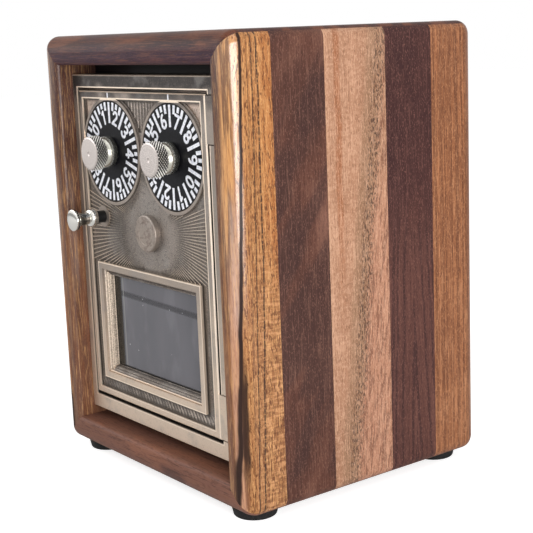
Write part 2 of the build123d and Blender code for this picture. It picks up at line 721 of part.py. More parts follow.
# Fence lever: an eye, a bar across both wheels and a tooth under each wheel's gate
def fence_parts():
    fence_back = fence_front + fence_thickness
    tooth_half, bar_half = gate_width / 2 - bolt_clear, fence_height / 2
    bar_left = dial_xs["left"] - tooth_half
    bar = block(bar_left, fence_x, fence_front, fence_back, fence_z - bar_half, fence_z + bar_half)
    for x in dial_xs.values():
        bar += block(x - tooth_half, x + tooth_half, fence_front, fence_back, fence_z, fence_top)
    bar += rod(fence_x, fence_z, fence_eye, fence_front, fence_back)
    bar -= rod(fence_x, fence_z, fence_stud + spindle_clear, fence_front - 1, fence_back + 1)
    save("fence_lever", bar)
    stud = rod(fence_x, fence_z, fence_stud, door_back, fence_back + end_play)
    stud += rod(fence_x, fence_z, fence_head, door_back, fence_front - spindle_clear)
    stud += rod(fence_x, fence_z, fence_head, fence_back + end_play, fence_back + end_play + collar_thickness)
    stud += rod(fence_x, fence_z, lock_screw_radius, door_back - lock_screw_grip, door_back + 1)
    save("fence_pivot", stud)


os.makedirs("parts", exist_ok=True)
wood_boards()
back_panel()
feet()
door_frame()
hinge_pins()
rails()
door_panel()
window_parts()
centre_boss()
for dial_side in dial_xs:
    dial_parts(dial_side)
latch_parts()
latch_bolt()
latch_spring()
lock_case()
fence_parts()
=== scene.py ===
import math
import bmesh
import bpy
from mathutils import Matrix, Vector


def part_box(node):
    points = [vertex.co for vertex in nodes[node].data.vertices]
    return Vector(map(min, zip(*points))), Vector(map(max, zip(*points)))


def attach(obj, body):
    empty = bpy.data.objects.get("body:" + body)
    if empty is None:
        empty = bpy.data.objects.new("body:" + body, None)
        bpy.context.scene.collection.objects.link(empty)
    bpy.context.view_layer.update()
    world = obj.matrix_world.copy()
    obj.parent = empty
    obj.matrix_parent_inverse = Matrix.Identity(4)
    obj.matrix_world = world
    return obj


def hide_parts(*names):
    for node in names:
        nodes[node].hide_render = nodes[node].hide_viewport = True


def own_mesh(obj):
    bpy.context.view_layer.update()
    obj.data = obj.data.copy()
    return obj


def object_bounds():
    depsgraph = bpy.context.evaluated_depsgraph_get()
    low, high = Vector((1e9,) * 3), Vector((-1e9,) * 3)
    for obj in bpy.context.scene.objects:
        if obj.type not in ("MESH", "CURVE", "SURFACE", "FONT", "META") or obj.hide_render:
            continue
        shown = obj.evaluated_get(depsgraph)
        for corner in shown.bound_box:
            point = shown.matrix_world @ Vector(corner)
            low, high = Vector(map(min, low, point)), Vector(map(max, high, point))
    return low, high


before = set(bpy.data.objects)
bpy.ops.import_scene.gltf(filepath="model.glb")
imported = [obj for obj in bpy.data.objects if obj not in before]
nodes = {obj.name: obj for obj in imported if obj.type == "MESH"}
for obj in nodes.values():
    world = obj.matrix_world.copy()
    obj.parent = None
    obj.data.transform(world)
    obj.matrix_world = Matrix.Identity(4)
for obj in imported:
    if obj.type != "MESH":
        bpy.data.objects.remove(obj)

# Post office box bank: a cast bronze combination door in a glued wood case.
# Its sizes in the dictionaries are millimetres. Meshes, camera, floor and lamps are in metres.
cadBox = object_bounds()
mm = 0.001
weld = 0.0001    # points closer than this, in millimetres, are merged
print("frame loaded with", len(nodes), "nodes")


def boxOf(node):
    low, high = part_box(node)
    return low / mm, high / mm


# The places that the dressed pieces sit on, in millimetres
doorLow, doorHigh = boxOf("door_panel")
frameLow, frameHigh = boxOf("door_frame")
dialCentres = {}
for side in ("left", "right"):
    low, high = boxOf(side + "_dial")
    dialCentres[side] = Vector(((low.x + high.x) / 2, low.y, (low.z + high.z) / 2))
bossLow, bossHigh = boxOf("centre_boss")
boss = Vector(((bossLow.x + bossHigh.x) / 2, bossLow.y, (bossLow.z + bossHigh.z) / 2))

door = {
    "left": doorLow.x,
    "low": doorLow.z,
    "top": doorHigh.z,
    "width": 86.8,
    "rim": 2.9,
    "fieldDepth": 0.9,
    "dialRing": 20.9,
    "spandrelDrop": 15.4,
    "gapLeft": 0.8,
    "gapRight": 1.8,
    "gapEnds": 1.2,
}
door["face"] = frameLow.y
door["right"] = door["left"] + door["width"]
door["field"] = door["face"] + door["fieldDepth"]
window = {"width": 71.4, "height": 47.3, "up": 7.7, "band": 2.6, "splay": 2.6, "proud": 0.4}
window["x"] = (door["left"] + door["right"]) / 2
window["left"], window["right"] = (window["x"] + side * window["width"] / 2 for side in (-1, 1))
window["low"] = door["low"] + window["up"]
window["top"] = window["low"] + window["height"]
window["z"] = (window["low"] + window["top"]) / 2


# One socket of a material, with the sums that the finishes need
class Wire:
    def __init__(self, tree, socket):
        self.tree = tree
        self.socket = socket

    def add(self, kind, settings=None, inputs=None, output=0):
        node = self.tree.nodes.new(kind)
        for key, value in (settings or {}).items():
            setattr(node, key, value)
        for key, value in (inputs or {}).items():
            if isinstance(value, Wire):
                self.tree.links.new(value.socket, node.inputs[key])
            else:
                node.inputs[key].default_value = value
        return Wire(self.tree, node.outputs[output])

    def sum(self, operation, *values):
        return self.add("ShaderNodeMath", {"operation": operation}, dict(enumerate(values)))

    def __add__(self, other):
        return self.sum("ADD", self, other)

    def __radd__(self, other):
        return self.sum("ADD", other, self)

    def __sub__(self, other):
        return self.sum("SUBTRACT", self, other)

    def __rsub__(self, other):
        return self.sum("SUBTRACT", other, self)

    def __mul__(self, other):
        return self.sum("MULTIPLY", self, other)

    def __rmul__(self, other):
        return self.sum("MULTIPLY", other, self)

    def __truediv__(self, other):
        return self.sum("DIVIDE", self, other)

    def __abs__(self):
        return self.sum("ABSOLUTE", self)


def rise(value, low, high):    # 0 below low, 1 above high, smooth between
    return value.add("ShaderNodeMapRange", {"interpolation_type": "SMOOTHSTEP"},
                     {"Value": value, "From Min": low, "From Max": high})


def fall(value, low, high):    # 1 below low, 0 above high, smooth between
    return 1 - rise(value, low, high)


def between(value, low, full, fade, high):    # 0 outside low and high, 1 from full to fade
    return rise(value, low, full) * fall(value, fade, high)


def near(value, middle, halfWidth, core=0.4):    # 1 over the core round middle, 0 from halfWidth away
    return fall(abs(value - middle), halfWidth * core, halfWidth)


def smaller(a, b):
    return a.sum("MINIMUM", a, b)


def larger(a, b):
    return a.sum("MAXIMUM", a, b)


def wireAmong(values):
    return next(value for value in values if isinstance(value, Wire))


def srgb(red, green, blue):
    def linear(v):
        v /= 255
        return v / 12.92 if v <= 0.04045 else ((v + 0.055) / 1.055) ** 2.4
    return (linear(red), linear(green), linear(blue), 1.0)


def mixed(factor, first, second):    # colours are wires, or red, green and blue up to 255
    first, second = (tone if isinstance(tone, Wire) else srgb(*tone) for tone in (first, second))
    return wireAmong((factor, first, second)).add(
        "ShaderNodeMix", {"data_type": "RGBA"}, {0: factor, 6: first, 7: second}, 2)


def laid(colour, mark, mask):    # lays a mark's tone over the colour
    return mixed(mask * mark["share"], colour, mark["tone"])


def joined(*parts):
    return wireAmong(parts).add("ShaderNodeCombineXYZ", {}, dict(enumerate(parts)))


def speckle(space, scale, detail=2.0, roughness=0.5):
    return space.add("ShaderNodeTexNoise", {}, {"Vector": space, "Scale": scale, "Detail": detail,
                                                "Roughness": roughness})


def stretched(look, *axes):    # noise drawn out along the axes
    space = joined(*axes)
    space = space.add("ShaderNodeVectorMath", {"operation": "MULTIPLY"}, {0: space, 1: look["stretch"]})
    return speckle(space, look["scale"], look.get("detail", 2.0), look.get("roughness", 0.5))


def patches(look, *axes):    # where that noise lies above its cut
    return rise(stretched(look, *axes), *look["cut"])


def bands(value, scale, detail, roughness=0.5):    # noise along one value, which makes rings
    return value.add("ShaderNodeTexNoise", {"noise_dimensions": "1D"},
                     {"W": value, "Scale": scale, "Detail": detail, "Roughness": roughness})


def wander(z, seed, scale, reach):    # a slow sideways drift along the board
    return (speckle(joined(seed, 0.0, z), scale) - 0.5) * reach


def wavering(value, z, look):    # a streak along the board that drifts sideways
    return near(value + wander(z, *look["drift"]), *look["at"])


def newFinish(name, constants):    # a material with the place on the object, in millimetres
    material = bpy.data.materials.new(name)
    material.use_nodes = True
    tree = material.node_tree
    shader = tree.nodes["Principled BSDF"]
    for key, value in constants.items():
        shader.inputs[key].default_value = value
    place = Wire(tree, tree.nodes.new("ShaderNodeTexCoord").outputs["Object"])
    place = place.add("ShaderNodeVectorMath", {"operation": "SCALE"}, {0: place, "Scale": 1 / mm})
    axes = [place.add("ShaderNodeSeparateXYZ", {}, {0: place}, i) for i in range(3)]
    return material, place, axes


def wear(material, links):
    tree = material.node_tree
    for key, value in links.items():
        tree.links.new(value.socket, tree.nodes["Principled BSDF"].inputs[key])
    return material


def bumped(height, strength, depth):
    return height.add("ShaderNodeBump", {}, {"Height": height, "Strength": strength, "Distance": depth * mm})


def gritty(material, colour, rough, grit, look):    # the same grit shows in the gloss and in the relief
    return wear(material, {"Base Color": colour, "Roughness": rough + grit * look["gritRough"],
                           "Normal": bumped(grit, *look["bump"])})


# In the dictionaries of finishes "cut" holds the two levels of a noise between which a mark fades in, and
# "gap" those between which it fades out. "up" holds two heights in the same way, "at" a middle and a half
# width, and "drift" a seed, a scale and a reach.

# Wood: each look has its tones, how strongly the fibre shows, its rings per millimetre with their share,
# lean and warp, its dark dashes and pale flecks, its coat of lacquer and its shine
plainWood = {"lean": 0.2, "dashFrom": 0.56, "fleckFrom": 0.58, "lacquer": 1.5}
woodLook = {
    "striped": {"base": (180, 124, 74), "dark": (116, 68, 34), "pale": (214, 164, 108), "fibre": 0.52,
                "ring": 0.42, "ringShare": 0.6, "warp": 5.0, "dash": (86, 46, 24), "dashSize": 1.8,
                "dashFrom": 0.54, "dashShare": 0.8, "fleckFrom": 0.57, "fleckShare": 0.35,
                "coat": 0.12, "lacquer": 1.8, "shine": 0.2},
    "walnut": {"base": (84, 52, 42), "dark": (54, 34, 31), "pale": (144, 104, 88), "fibre": 0.3,
               "ring": 0.07, "ringShare": 0.35, "warp": 9.0, "dash": (46, 28, 26), "dashSize": 2.6,
               "dashShare": 0.35, "fleckShare": 0.32, "coat": 0.08, "shine": 0.12},
    "plum": {"base": (78, 47, 41), "dark": (52, 33, 33), "pale": (126, 86, 76), "fibre": 0.32,
             "ring": 0.05, "ringShare": 0.25, "warp": 8.0, "dash": (42, 26, 27), "dashSize": 2.6,
             "dashShare": 0.4, "fleckShare": 0.5, "coat": 0.06, "shine": 0.08},
    "tan": {"base": (168, 124, 97), "dark": (128, 88, 64), "pale": (204, 162, 134), "fibre": 0.45,
            "ring": 0.10, "ringShare": 0.35, "warp": 7.0, "dash": (112, 74, 52), "dashSize": 2.4,
            "dashShare": 0.55, "fleckFrom": 0.56, "fleckShare": 0.45, "coat": 0.15, "shine": 0.2},
    "orange": {"base": (150, 96, 62), "dark": (92, 52, 32), "pale": (190, 136, 98), "fibre": 0.52,
               "ring": 0.62, "ringShare": 0.8, "lean": 0.1, "warp": 3.0, "dash": (90, 50, 32),
               "dashSize": 1.9, "dashShare": 0.6, "fleckFrom": 0.56, "fleckShare": 0.4,
               "coat": 0.15, "shine": 0.2},
    "board": {"base": (76, 44, 38), "dark": (44, 26, 27), "pale": (120, 80, 62), "fibre": 0.6,
              "ring": 0.4, "ringShare": 0.7, "lean": 0.6, "warp": 8.0, "dash": (44, 27, 27), "dashSize": 1.8,
              "dashShare": 0.3, "fleckShare": 0.3, "coat": 0.04, "shine": 0.1},
    # near-black rail wood, darkened further as painted shade for the recess round the door's frame
    "stain": {"base": (20, 15, 17), "dark": (11, 8, 10), "pale": (32, 24, 25), "fibre": 0.5,
              "ring": 0.3, "ringShare": 0.5, "lean": 0.6, "warp": 6.0, "dash": (8, 7, 8), "dashSize": 1.8,
              "dashFrom": 0.6, "dashShare": 0.4, "fleckFrom": 0.6, "fleckShare": 0.2,
              "coat": 0.05, "shine": 0.1},
}

# What all the woods share: noises with their stretch across and along the grain, cuts, and the lacquer
grainNoise = {
    "drift": {"stretch": (1, 1, 0.18), "scale": 0.045},
    "cloud": {"stretch": (1, 1, 0.5), "scale": 0.05},
    "fibre": {"stretch": (1, 1, 0.045), "scale": 2.2, "detail": 3.0, "roughness": 0.7},
    "dash": {"stretch": (1, 1, 0.22), "detail": 1.0},
    "fleck": {"stretch": (1, 1, 0.38), "scale": 3.2, "detail": 1.0},
}
grainLook = {"ringNoise": (3.0, 0.65), "ringCut": (0.40, 0.62), "darkCut": (0.45, 0.65), "dark": 0.35,
             "paleGap": (0.32, 0.50), "pale": 0.30, "fibreCut": (0.50, 0.68), "fibreGap": (0.32, 0.50),
             "poreFade": 0.1, "fleckShift": 50.0, "fibreHigh": 0.5, "dashDeep": 0.8, "rough": 0.36,
             "fibreRough": 0.18, "coatTop": 1.15, "fibreCoat": 0.3, "coatRough": 0.13, "bump": (0.30, 0.10)}


# marks paints the figure under the dashes and flecks, lines paints over them, pores says how much of them
# shows, and gloss changes the coat and the roughness
def woodFinish(name, kind, grain="Z", marks=None, lines=None, pores=None, gloss=None):
    look = {**plainWood, **woodLook[kind]}
    material, place, (x, y, z) = newFinish(name, {"Coat Roughness": grainLook["coatRough"],
                                                  "Coat IOR": look["lacquer"],
                                                  "Specular IOR Level": look["shine"]})
    a, b, along = (x, y, z) if grain == "Z" else (y, z, x)
    drift = stretched(grainNoise["drift"], a, b, along) - 0.5
    across = a * math.sin(look["lean"]) + b * math.cos(look["lean"]) + drift * look["warp"]
    rings = bands(across, look["ring"], *grainLook["ringNoise"])
    fibre = stretched(grainNoise["fibre"], a, b, along)
    dash = stretched({**grainNoise["dash"], "scale": look["dashSize"]}, a, b, along)
    fleck = stretched(grainNoise["fleck"], a + grainLook["fleckShift"], b, along)
    cloud = stretched(grainNoise["cloud"], a, b, along)
    colour = mixed(rise(rings, *grainLook["ringCut"]) * look["ringShare"], look["base"], look["dark"])
    colour = mixed(rise(cloud, *grainLook["darkCut"]) * grainLook["dark"], colour, look["dark"])
    colour = mixed(fall(cloud, *grainLook["paleGap"]) * grainLook["pale"], colour, look["pale"])
    if marks:
        colour = marks(colour, x, y, z)
    colour = mixed(rise(fibre, *grainLook["fibreCut"]) * look["fibre"], colour, look["pale"])
    colour = mixed(fall(fibre, *grainLook["fibreGap"]) * look["fibre"], colour, look["dark"])
    dashes = rise(dash, look["dashFrom"], look["dashFrom"] + grainLook["poreFade"]) * look["dashShare"]
    flecks = rise(fleck, look["fleckFrom"], look["fleckFrom"] + grainLook["poreFade"]) * look["fleckShare"]
    if pores:
        dashes, flecks = dashes * pores(x, y), flecks * pores(x, y)
    colour = mixed(dashes, colour, look["dash"])
    colour = mixed(flecks, colour, look["pale"])
    if lines:
        colour = lines(colour, x, y, z)
    relief = fibre * grainLook["fibreHigh"] - dashes * grainLook["dashDeep"]
    coat = look["coat"] * (grainLook["coatTop"] - fibre * grainLook["fibreCoat"])
    rough = grainLook["rough"] + fibre * grainLook["fibreRough"]
    if gloss:
        coat, rough = gloss(coat, rough, fibre, x, y, z)
    return wear(material, {"Base Color": colour, "Roughness": rough, "Coat Weight": coat,
                           "Normal": bumped(relief, *grainLook["bump"])})


# Dark lines of the striped wood, which lean forward as they go down. The first is the black edge in front.
stripeLines = [
    {"top": -47.8, "drop": 5.6, "bend": 1.0, "half": 0.7, "dots": 0.0, "share": 0.97},
    {"top": -43.9, "drop": 3.9, "bend": 1.6, "half": 0.34, "dots": 0.4, "share": 0.8},
    {"top": -41.6, "drop": 4.2, "bend": 2.4, "half": 0.46, "dots": 0.6, "share": 0.85},
    {"top": -45.6, "drop": 3.9, "bend": 1.6, "half": 0.24, "dots": 0.5, "share": 0.5},
]
lineLook = {"seeds": 7.0, "scale": 0.05, "reach": 1.4, "dotScale": 0.9, "dotCut": (0.36, 0.50),
            "ink": (36, 23, 21)}
outerSide = (55.0, 58.0)    # where the case's outer side begins, either way from the middle
caseTop = cadBox[1].z / mm


def stripeLine(i, x, y, z):    # how much one dark line covers
    line = stripeLines[i]
    down = (caseTop - z) / caseTop
    drift = wander(z, lineLook["seeds"] * i, lineLook["scale"], lineLook["reach"])
    path = y + drift + down.sum("POWER", down, line["bend"]) * line["drop"]
    dots = rise(speckle(joined(i, 0.0, z), lineLook["dotScale"], 1.0), *lineLook["dotCut"])
    here = near(path, line["top"], line["half"]) * (1 - line["dots"] + dots * line["dots"])
    return here * rise(abs(x), *outerSide) * line["share"]


blotch = {"drift": (31.0, 0.09, 1.6), "at": (-51.0, 1.4), "atHeight": (38.0, 28.0), "right": (57.0, 61.0),
          "share": 0.92}


def blackEdge(x, y, z):    # the first line, and the blotch beside it low on the right
    patch = wavering(y, z, blotch) * near(z, *blotch["atHeight"])
    return larger(stripeLine(0, x, y, z), patch * rise(x, *blotch["right"]) * blotch["share"])


def stripeOver(colour, x, y, z):
    for i in range(1, len(stripeLines)):
        colour = mixed(stripeLine(i, x, y, z), colour, lineLook["ink"])
    return mixed(blackEdge(x, y, z), colour, lineLook["ink"])


# The striped side: browner low down, rippled behind, and warm at its back edge high up
stripeFigure = {
    "low": {"up": (60.0, 125.0), "share": 0.65, "tone": (136, 92, 62)},
    "ripple": {"stretch": (1, 0.2, 1), "scale": 1.0, "detail": 1.0, "high": 0.25, "behind": (-50.0, -42.0)},
    "pale": {"cut": (0.50, 0.60), "share": 0.5, "tone": (200, 148, 104)},
    "dark": {"gap": (0.38, 0.46), "share": 0.5, "tone": (96, 58, 36)},
    "warm": {"behind": (-42.0, -38.0), "up": (70.0, 110.0), "share": 0.5, "tone": (150, 86, 40)},
}


def stripeMarks(colour, x, y, z):
    look = stripeFigure
    low = fall(z, *look["low"]["up"])
    colour = laid(colour, look["low"], low)
    ripple = stretched(look["ripple"], x, y, z)
    high = look["ripple"]["high"]
    back = (high + low * (1 - high)) * rise(y, *look["ripple"]["behind"])
    colour = laid(colour, look["pale"], rise(ripple, *look["pale"]["cut"]) * back)
    colour = laid(colour, look["dark"], fall(ripple, *look["dark"]["gap"]) * back)
    warm = rise(y, *look["warm"]["behind"]) * rise(z, *look["warm"]["up"])
    return laid(colour, look["warm"], warm)


# The stile's front and lip: dark streaks that end in a browner, pinkish foot, a painted highlight on the
# rounded edge, and painted shade on the inner lip
stileFigure = {
    "tone": (160, 106, 62), "toneShare": 0.6,
    "gold": {"stretch": (1, 0.4, 0.05), "scale": 0.35, "cut": (0.48, 0.60), "share": 0.6,
             "tone": (208, 154, 98)},
    "left": {"across": (-1.0, 1.0), "share": 0.7, "tone": (118, 74, 52)},
    "streak": {"stretch": (1, 0.4, 0.04), "scale": 0.65, "roughness": 0.6, "shift": 20.0, "cut": (0.47, 0.57),
               "share": 0.75, "tone": (72, 42, 30)},
    "foot": {"drift": (3.0, 0.08, 14.0), "up": (40.0, 105.0), "share": 0.55, "tone": (118, 78, 62)},
    "rosy": {"drift": (17.0, 0.05, 1.0), "at": (59.0, 2.2), "up": (75.0, 105.0), "share": 0.7,
             "tone": (188, 144, 120)},
    # a painted highlight: a pale streak on the rounded edge, where its shine fades lower down
    "paintedHighlight": {"lean": 0.2, "at": (-39.6, 1.6), "atHeight": (92.0, 30.0), "share": 0.3,
              "tone": (206, 184, 176)},
    # painted shade on the inner lip, wider and darker higher up under the top board
    "lipShade": {"drift": (12.0, 0.06, 1.6), "widen": (100.0, 140.0), "wider": 2.0, "across": (54.6, 56.6),
            "darken": (80.0, 135.0), "low": 0.4, "high": 0.85, "tone": (58, 38, 42)},
}


def stileMarks(colour, x, y, z):
    look, side = stileFigure, abs(x)
    streak, rosy, paintedHighlight, lipShade = (look[key] for key in ("streak", "rosy", "paintedHighlight", "lipShade"))
    colour = mixed(look["toneShare"], colour, look["tone"])
    colour = laid(colour, look["gold"], patches(look["gold"], side, y, z))
    colour = laid(colour, look["left"], fall(x, *look["left"]["across"]))
    colour = laid(colour, streak, patches(streak, side + streak["shift"], y, z))
    colour = laid(colour, look["foot"], fall(z + wander(z, *look["foot"]["drift"]), *look["foot"]["up"]))
    colour = laid(colour, rosy, wavering(side, z, rosy) * fall(z, *rosy["up"]))
    # painted highlight along the rounded edge
    colour = laid(colour, paintedHighlight, near(y + side * paintedHighlight["lean"], *paintedHighlight["at"]) * near(z, *paintedHighlight["atHeight"]))
    # painted shade on the inner lip
    width = side + wander(z, *lipShade["drift"]) - rise(z, *lipShade["widen"]) * lipShade["wider"]
    share = lipShade["low"] + rise(z, *lipShade["darken"]) * (lipShade["high"] - lipShade["low"])
    return mixed(fall(width, *lipShade["across"]) * share, colour, lipShade["tone"])


# A front strip shows its side grain in stripes and its front grain as the stile
stile = {"edge": 56.0, "round": 0.35, "front": (-49.6, -48.2), "inside": (53.5, 54.5), "closed": 0.75}


def facing(x, y):    # 1 on the front and its rounding, 0 on the side
    front = fall(y + (abs(x) - stile["edge"]) * stile["round"], *stile["front"])
    return larger(front, fall(abs(x), *stile["inside"]))


def frontMarks(colour, x, y, z):
    return mixed(facing(x, y), stripeMarks(colour, x, y, z), stileMarks(colour, x, y, z))


def frontPores(x, y):
    return 1 - facing(x, y) * stile["closed"]


# The rounded edge shines in streaks high up, but its foot and black line don't
edgeShine = {"up": (50.0, 100.0), "drift": (26.0, 0.06, 0.8), "front": (-54.6, -53.8),
             "back": (-49.4, -48.6), "footBack": (-48.6, -47.6),
             "streak": {"stretch": (1, 1, 0.03), "scale": 1.2, "detail": 1.0},
             "cut": (0.75, 1.05), "coat": 0.15, "streakCoat": 0.55, "matte": 0.9, "matteRough": 0.5}


def edgeGloss(coat, rough, fibre, x, y, z):
    look = edgeShine
    outside = rise(abs(x), *outerSide)
    high = rise(z, *look["up"])
    rounding = rise(y + wander(z, *look["drift"]), *look["front"]) * fall(y, *look["back"]) * outside
    streaks = rise(fibre + stretched(look["streak"], x, y, z), *look["cut"])
    foot = (1 - high) * fall(y, *look["footBack"]) * outside
    matte = larger(blackEdge(x, y, z), foot)
    shine = rounding * high * (look["coat"] + streaks * look["streakCoat"])
    return (coat + shine) * (1 - matte * look["matte"]), rough + matte * look["matteRough"]


# The tan strip: an orange streak near its front edge high up, and an olive one that starts at the back
# edge and comes forward as it goes down, with slanting dashes behind it
tanFigure = {
    "ripple": {"stretch": (1, 0.4, 1), "scale": 0.7, "cut": (0.46, 0.60), "share": 0.25,
               "tone": (206, 164, 134)},
    "orange": {"drift": (5.0, 0.03, 4.0), "at": (-7.6, 1.9), "up": (60.0, 110.0), "share": 0.7,
               "tone": (140, 82, 48)},
    "olive": {"back": 11.5, "top": 168.0, "slope": 0.105, "drift": (9.0, 0.035, 5.0), "at": (-1.0, 5.4),
              "share": 0.6, "tone": (122, 94, 70)},
    "behind": {"from": (1.0, 4.5), "up": (90.0, 130.0), "share": 0.6, "tone": (176, 124, 100)},
    "dash": {"lean": 0.12, "stretch": (1, 1, 0.12), "scale": 1.1, "cut": (0.50, 0.58), "share": 0.8,
             "tone": (112, 72, 56)},
    "fleck": {"stretch": (1, 1, 0.35), "scale": 1.7, "cut": (0.48, 0.56), "at": (1.4, 4.2), "share": 0.9,
              "tone": (62, 44, 36)},
}


def tanMarks(colour, x, y, z):
    ripple, orange, olive, pinkish, dash, fleck = tanFigure.values()
    colour = laid(colour, ripple, patches(ripple, x, y, z))
    colour = laid(colour, orange, wavering(y, z, orange) * rise(z, *orange["up"]))
    middle = y - olive["back"] + (olive["top"] - z) * olive["slope"] + wander(z, *olive["drift"])
    colour = laid(colour, olive, near(middle, *olive["at"]))
    behind = rise(middle, *pinkish["from"])
    colour = laid(colour, pinkish, behind * fall(z, *pinkish["up"]))
    colour = laid(colour, dash, behind * patches(dash, x, y - z * dash["lean"], z))
    return laid(colour, fleck, near(middle, *fleck["at"]) * patches(fleck, x, y, z))


# Walnut: dark figure that climbs towards the back edge
walnutFigure = {
    "noise": {"stretch": (0.05, 0.35, 0.08), "scale": 0.16}, "climb": (0.9, 0.62),
    "dark": {"cut": (0.47, 0.58), "share": 0.7, "tone": (54, 36, 34)},
    "pale": {"gap": (0.30, 0.46), "share": 0.35, "tone": (122, 82, 66)},
}


def walnutMarks(colour, x, y, z):
    dark, pale, climb = (walnutFigure[key] for key in ("dark", "pale", "climb"))
    noise = stretched(walnutFigure["noise"], x, y * climb[0] - z * climb[1], y + z)
    colour = laid(colour, dark, rise(noise, *dark["cut"]))
    return laid(colour, pale, fall(noise, *pale["gap"]))


def panelMarks(colour, x, y, z):
    return walnutMarks(colour, y, x, z)


# The dark strip behind the tan one: rings that arch in its lower half, slanting figure above
plumFigure = {
    "arch": {"middle": 27.0, "drift": (21.0, 0.03, 3.0), "slope": 0.05, "ripple": (44.0, 0.10, 1.6),
             "scale": 0.55, "cut": (0.50, 0.64), "share": 0.7, "tone": (54, 35, 35)},
    "low": {"up": (85.0, 115.0), "share": 0.4, "tone": (100, 67, 59)},
    "slant": {"climb": (0.9, 0.5), "stretch": (0.05, 1, 0.05), "scale": 0.05, "detail": 1.0,
              "cut": (0.48, 0.60), "share": 0.6, "tone": (54, 35, 36)},
}


def plumMarks(colour, x, y, z):
    arch, low, slant = plumFigure.values()
    aside = abs(y - arch["middle"] + wander(z, *arch["drift"]))
    path = aside + z * arch["slope"] + wander(z, *arch["ripple"])
    lower = fall(z, *low["up"])
    colour = laid(colour, low, lower)
    colour = laid(colour, arch, rise(bands(path, arch["scale"], 0.0), *arch["cut"]) * lower)
    climb = y * slant["climb"][0] - z * slant["climb"][1]
    return laid(colour, slant, patches(slant, x, climb, z) * (1 - lower))


# The orange strip has a dark line near its back edge, and is paler behind it, a painted reflection on the
# rounded back edge
# back is a painted reflection: paler on the rounded back edge
orangeFigure = {"back": {"from": (55.4, 57.5), "share": 0.35, "tone": (176, 134, 112)},
                "line": {"drift": (14.0, 0.02, 1.2), "at": (55.6, 0.55), "share": 0.55, "tone": (84, 46, 32)}}


def orangeMarks(colour, x, y, z):
    back, line = orangeFigure.values()
    # painted reflection on the rounded back edge
    colour = laid(colour, back, rise(y, *back["from"]))
    return laid(colour, line, wavering(y, z, line))


# The boards: reddish patches and dark ones, a paler bottom board, partly a painted highlight, with a smudge,
# and a top board that is darker purple low on its front and nearly black inside the mouth as painted shade,
# by heights over the door's frame
boardFigure = {
    "red": {"stretch": (0.25, 1, 1), "scale": 0.12, "cut": (0.50, 0.62), "share": 0.6, "tone": (128, 76, 52)},
    "dark": {"gap": (0.36, 0.46), "share": 0.5, "tone": (58, 38, 46)},
    # a paler bottom board, partly a painted highlight where its rounded top edge catches light
    "bottom": {"up": (12.0, 40.0), "share": 0.6, "tone": (146, 102, 84)},
    "smudge": {"drift": (8.0, 0.2, 8.0), "at": (15.0, 11.0), "atHeight": (6.5, 5.5), "share": 0.65,
               "tone": (58, 42, 44)},
    "purple": {"top": (100.0, 110.0), "over": (7.0, 12.0), "share": 0.6, "tone": (54, 40, 60)},
    # painted shade: nearly black inside the mouth, under the top board
    "inside": {"behind": (-52.0, -47.0), "over": (3.9, 4.6), "share": 0.9, "tone": (16, 12, 16)},
}


def boardMarks(colour, x, y, z):
    red, dark, bottom, smudge, purple, inside = boardFigure.values()
    patch = stretched(red, x, y, z)
    colour = laid(colour, red, rise(patch, *red["cut"]))
    colour = laid(colour, dark, fall(patch, *dark["gap"]))
    # paler low down: paler wood and partly a painted highlight
    colour = laid(colour, bottom, fall(z, *bottom["up"]))
    colour = laid(colour, smudge, wavering(x, z, smudge) * near(z, *smudge["atHeight"]))
    upper, over = rise(z, *purple["top"]), z - frameHigh.z
    colour = laid(colour, purple, fall(over, *purple["over"]) * upper)
    # painted shade inside the mouth
    return laid(colour, inside, rise(y, *inside["behind"]) * fall(over, *inside["over"]) * upper)


woods = {
    "front": woodFinish("frontStripWood", "striped", "Z", frontMarks, stripeOver, frontPores, edgeGloss),
    "walnut": woodFinish("walnutWood", "walnut", "Z", walnutMarks),
    "tan": woodFinish("tanWood", "tan", "Z", tanMarks),
    "plum": woodFinish("plumWood", "plum", "Z", plumMarks),
    "orange": woodFinish("orangeWood", "orange", "Z", orangeMarks),
    "board": woodFinish("boardWood", "board", "X", boardMarks),
    "panel": woodFinish("panelWood", "walnut", "Z", panelMarks),
    # the rails: dark wood and painted shade
    "stain": woodFinish("darkRailWoodAndShade", "stain", "X"),
}
print("woods made")


# Bronze: worn pale on the high parts, darker towards the top, black brown in the low parts.
# Noises are given as scale, detail and roughness, and depths lie behind the door's face or its field.
bronzeTones = {"foot": (216, 197, 178), "middle": (152, 141, 132), "head": (60, 56, 55),
               "field": (134, 126, 120), "fieldRight": (164, 154, 146), "groove": (72, 65, 60),
               "worn": (236, 216, 194), "dirt": (56, 50, 46), "rosy": (206, 180, 164)}
bronzeLook = {"metallic": 0.8, "specular": 0.4, "cloud": (0.08, 3.0, 0.6), "grit": (2.6, 3.0, 0.7),
              "pits": (1.2, 2.0, 0.6), "mottle": (0.7, 3.0, 0.6), "drift": 30.0, "middleUp": (30.0, 96.0),
              "headUp": (138.0, 150.0), "lowDepth": (0.2, 0.8), "rightFrom": (4.0, 30.0), "fine": 0.25,
              "rough": 0.36, "gritRough": 0.25, "edgeSmooth": 0.08, "pitDepth": 0.6, "bump": (0.45, 0.12)}
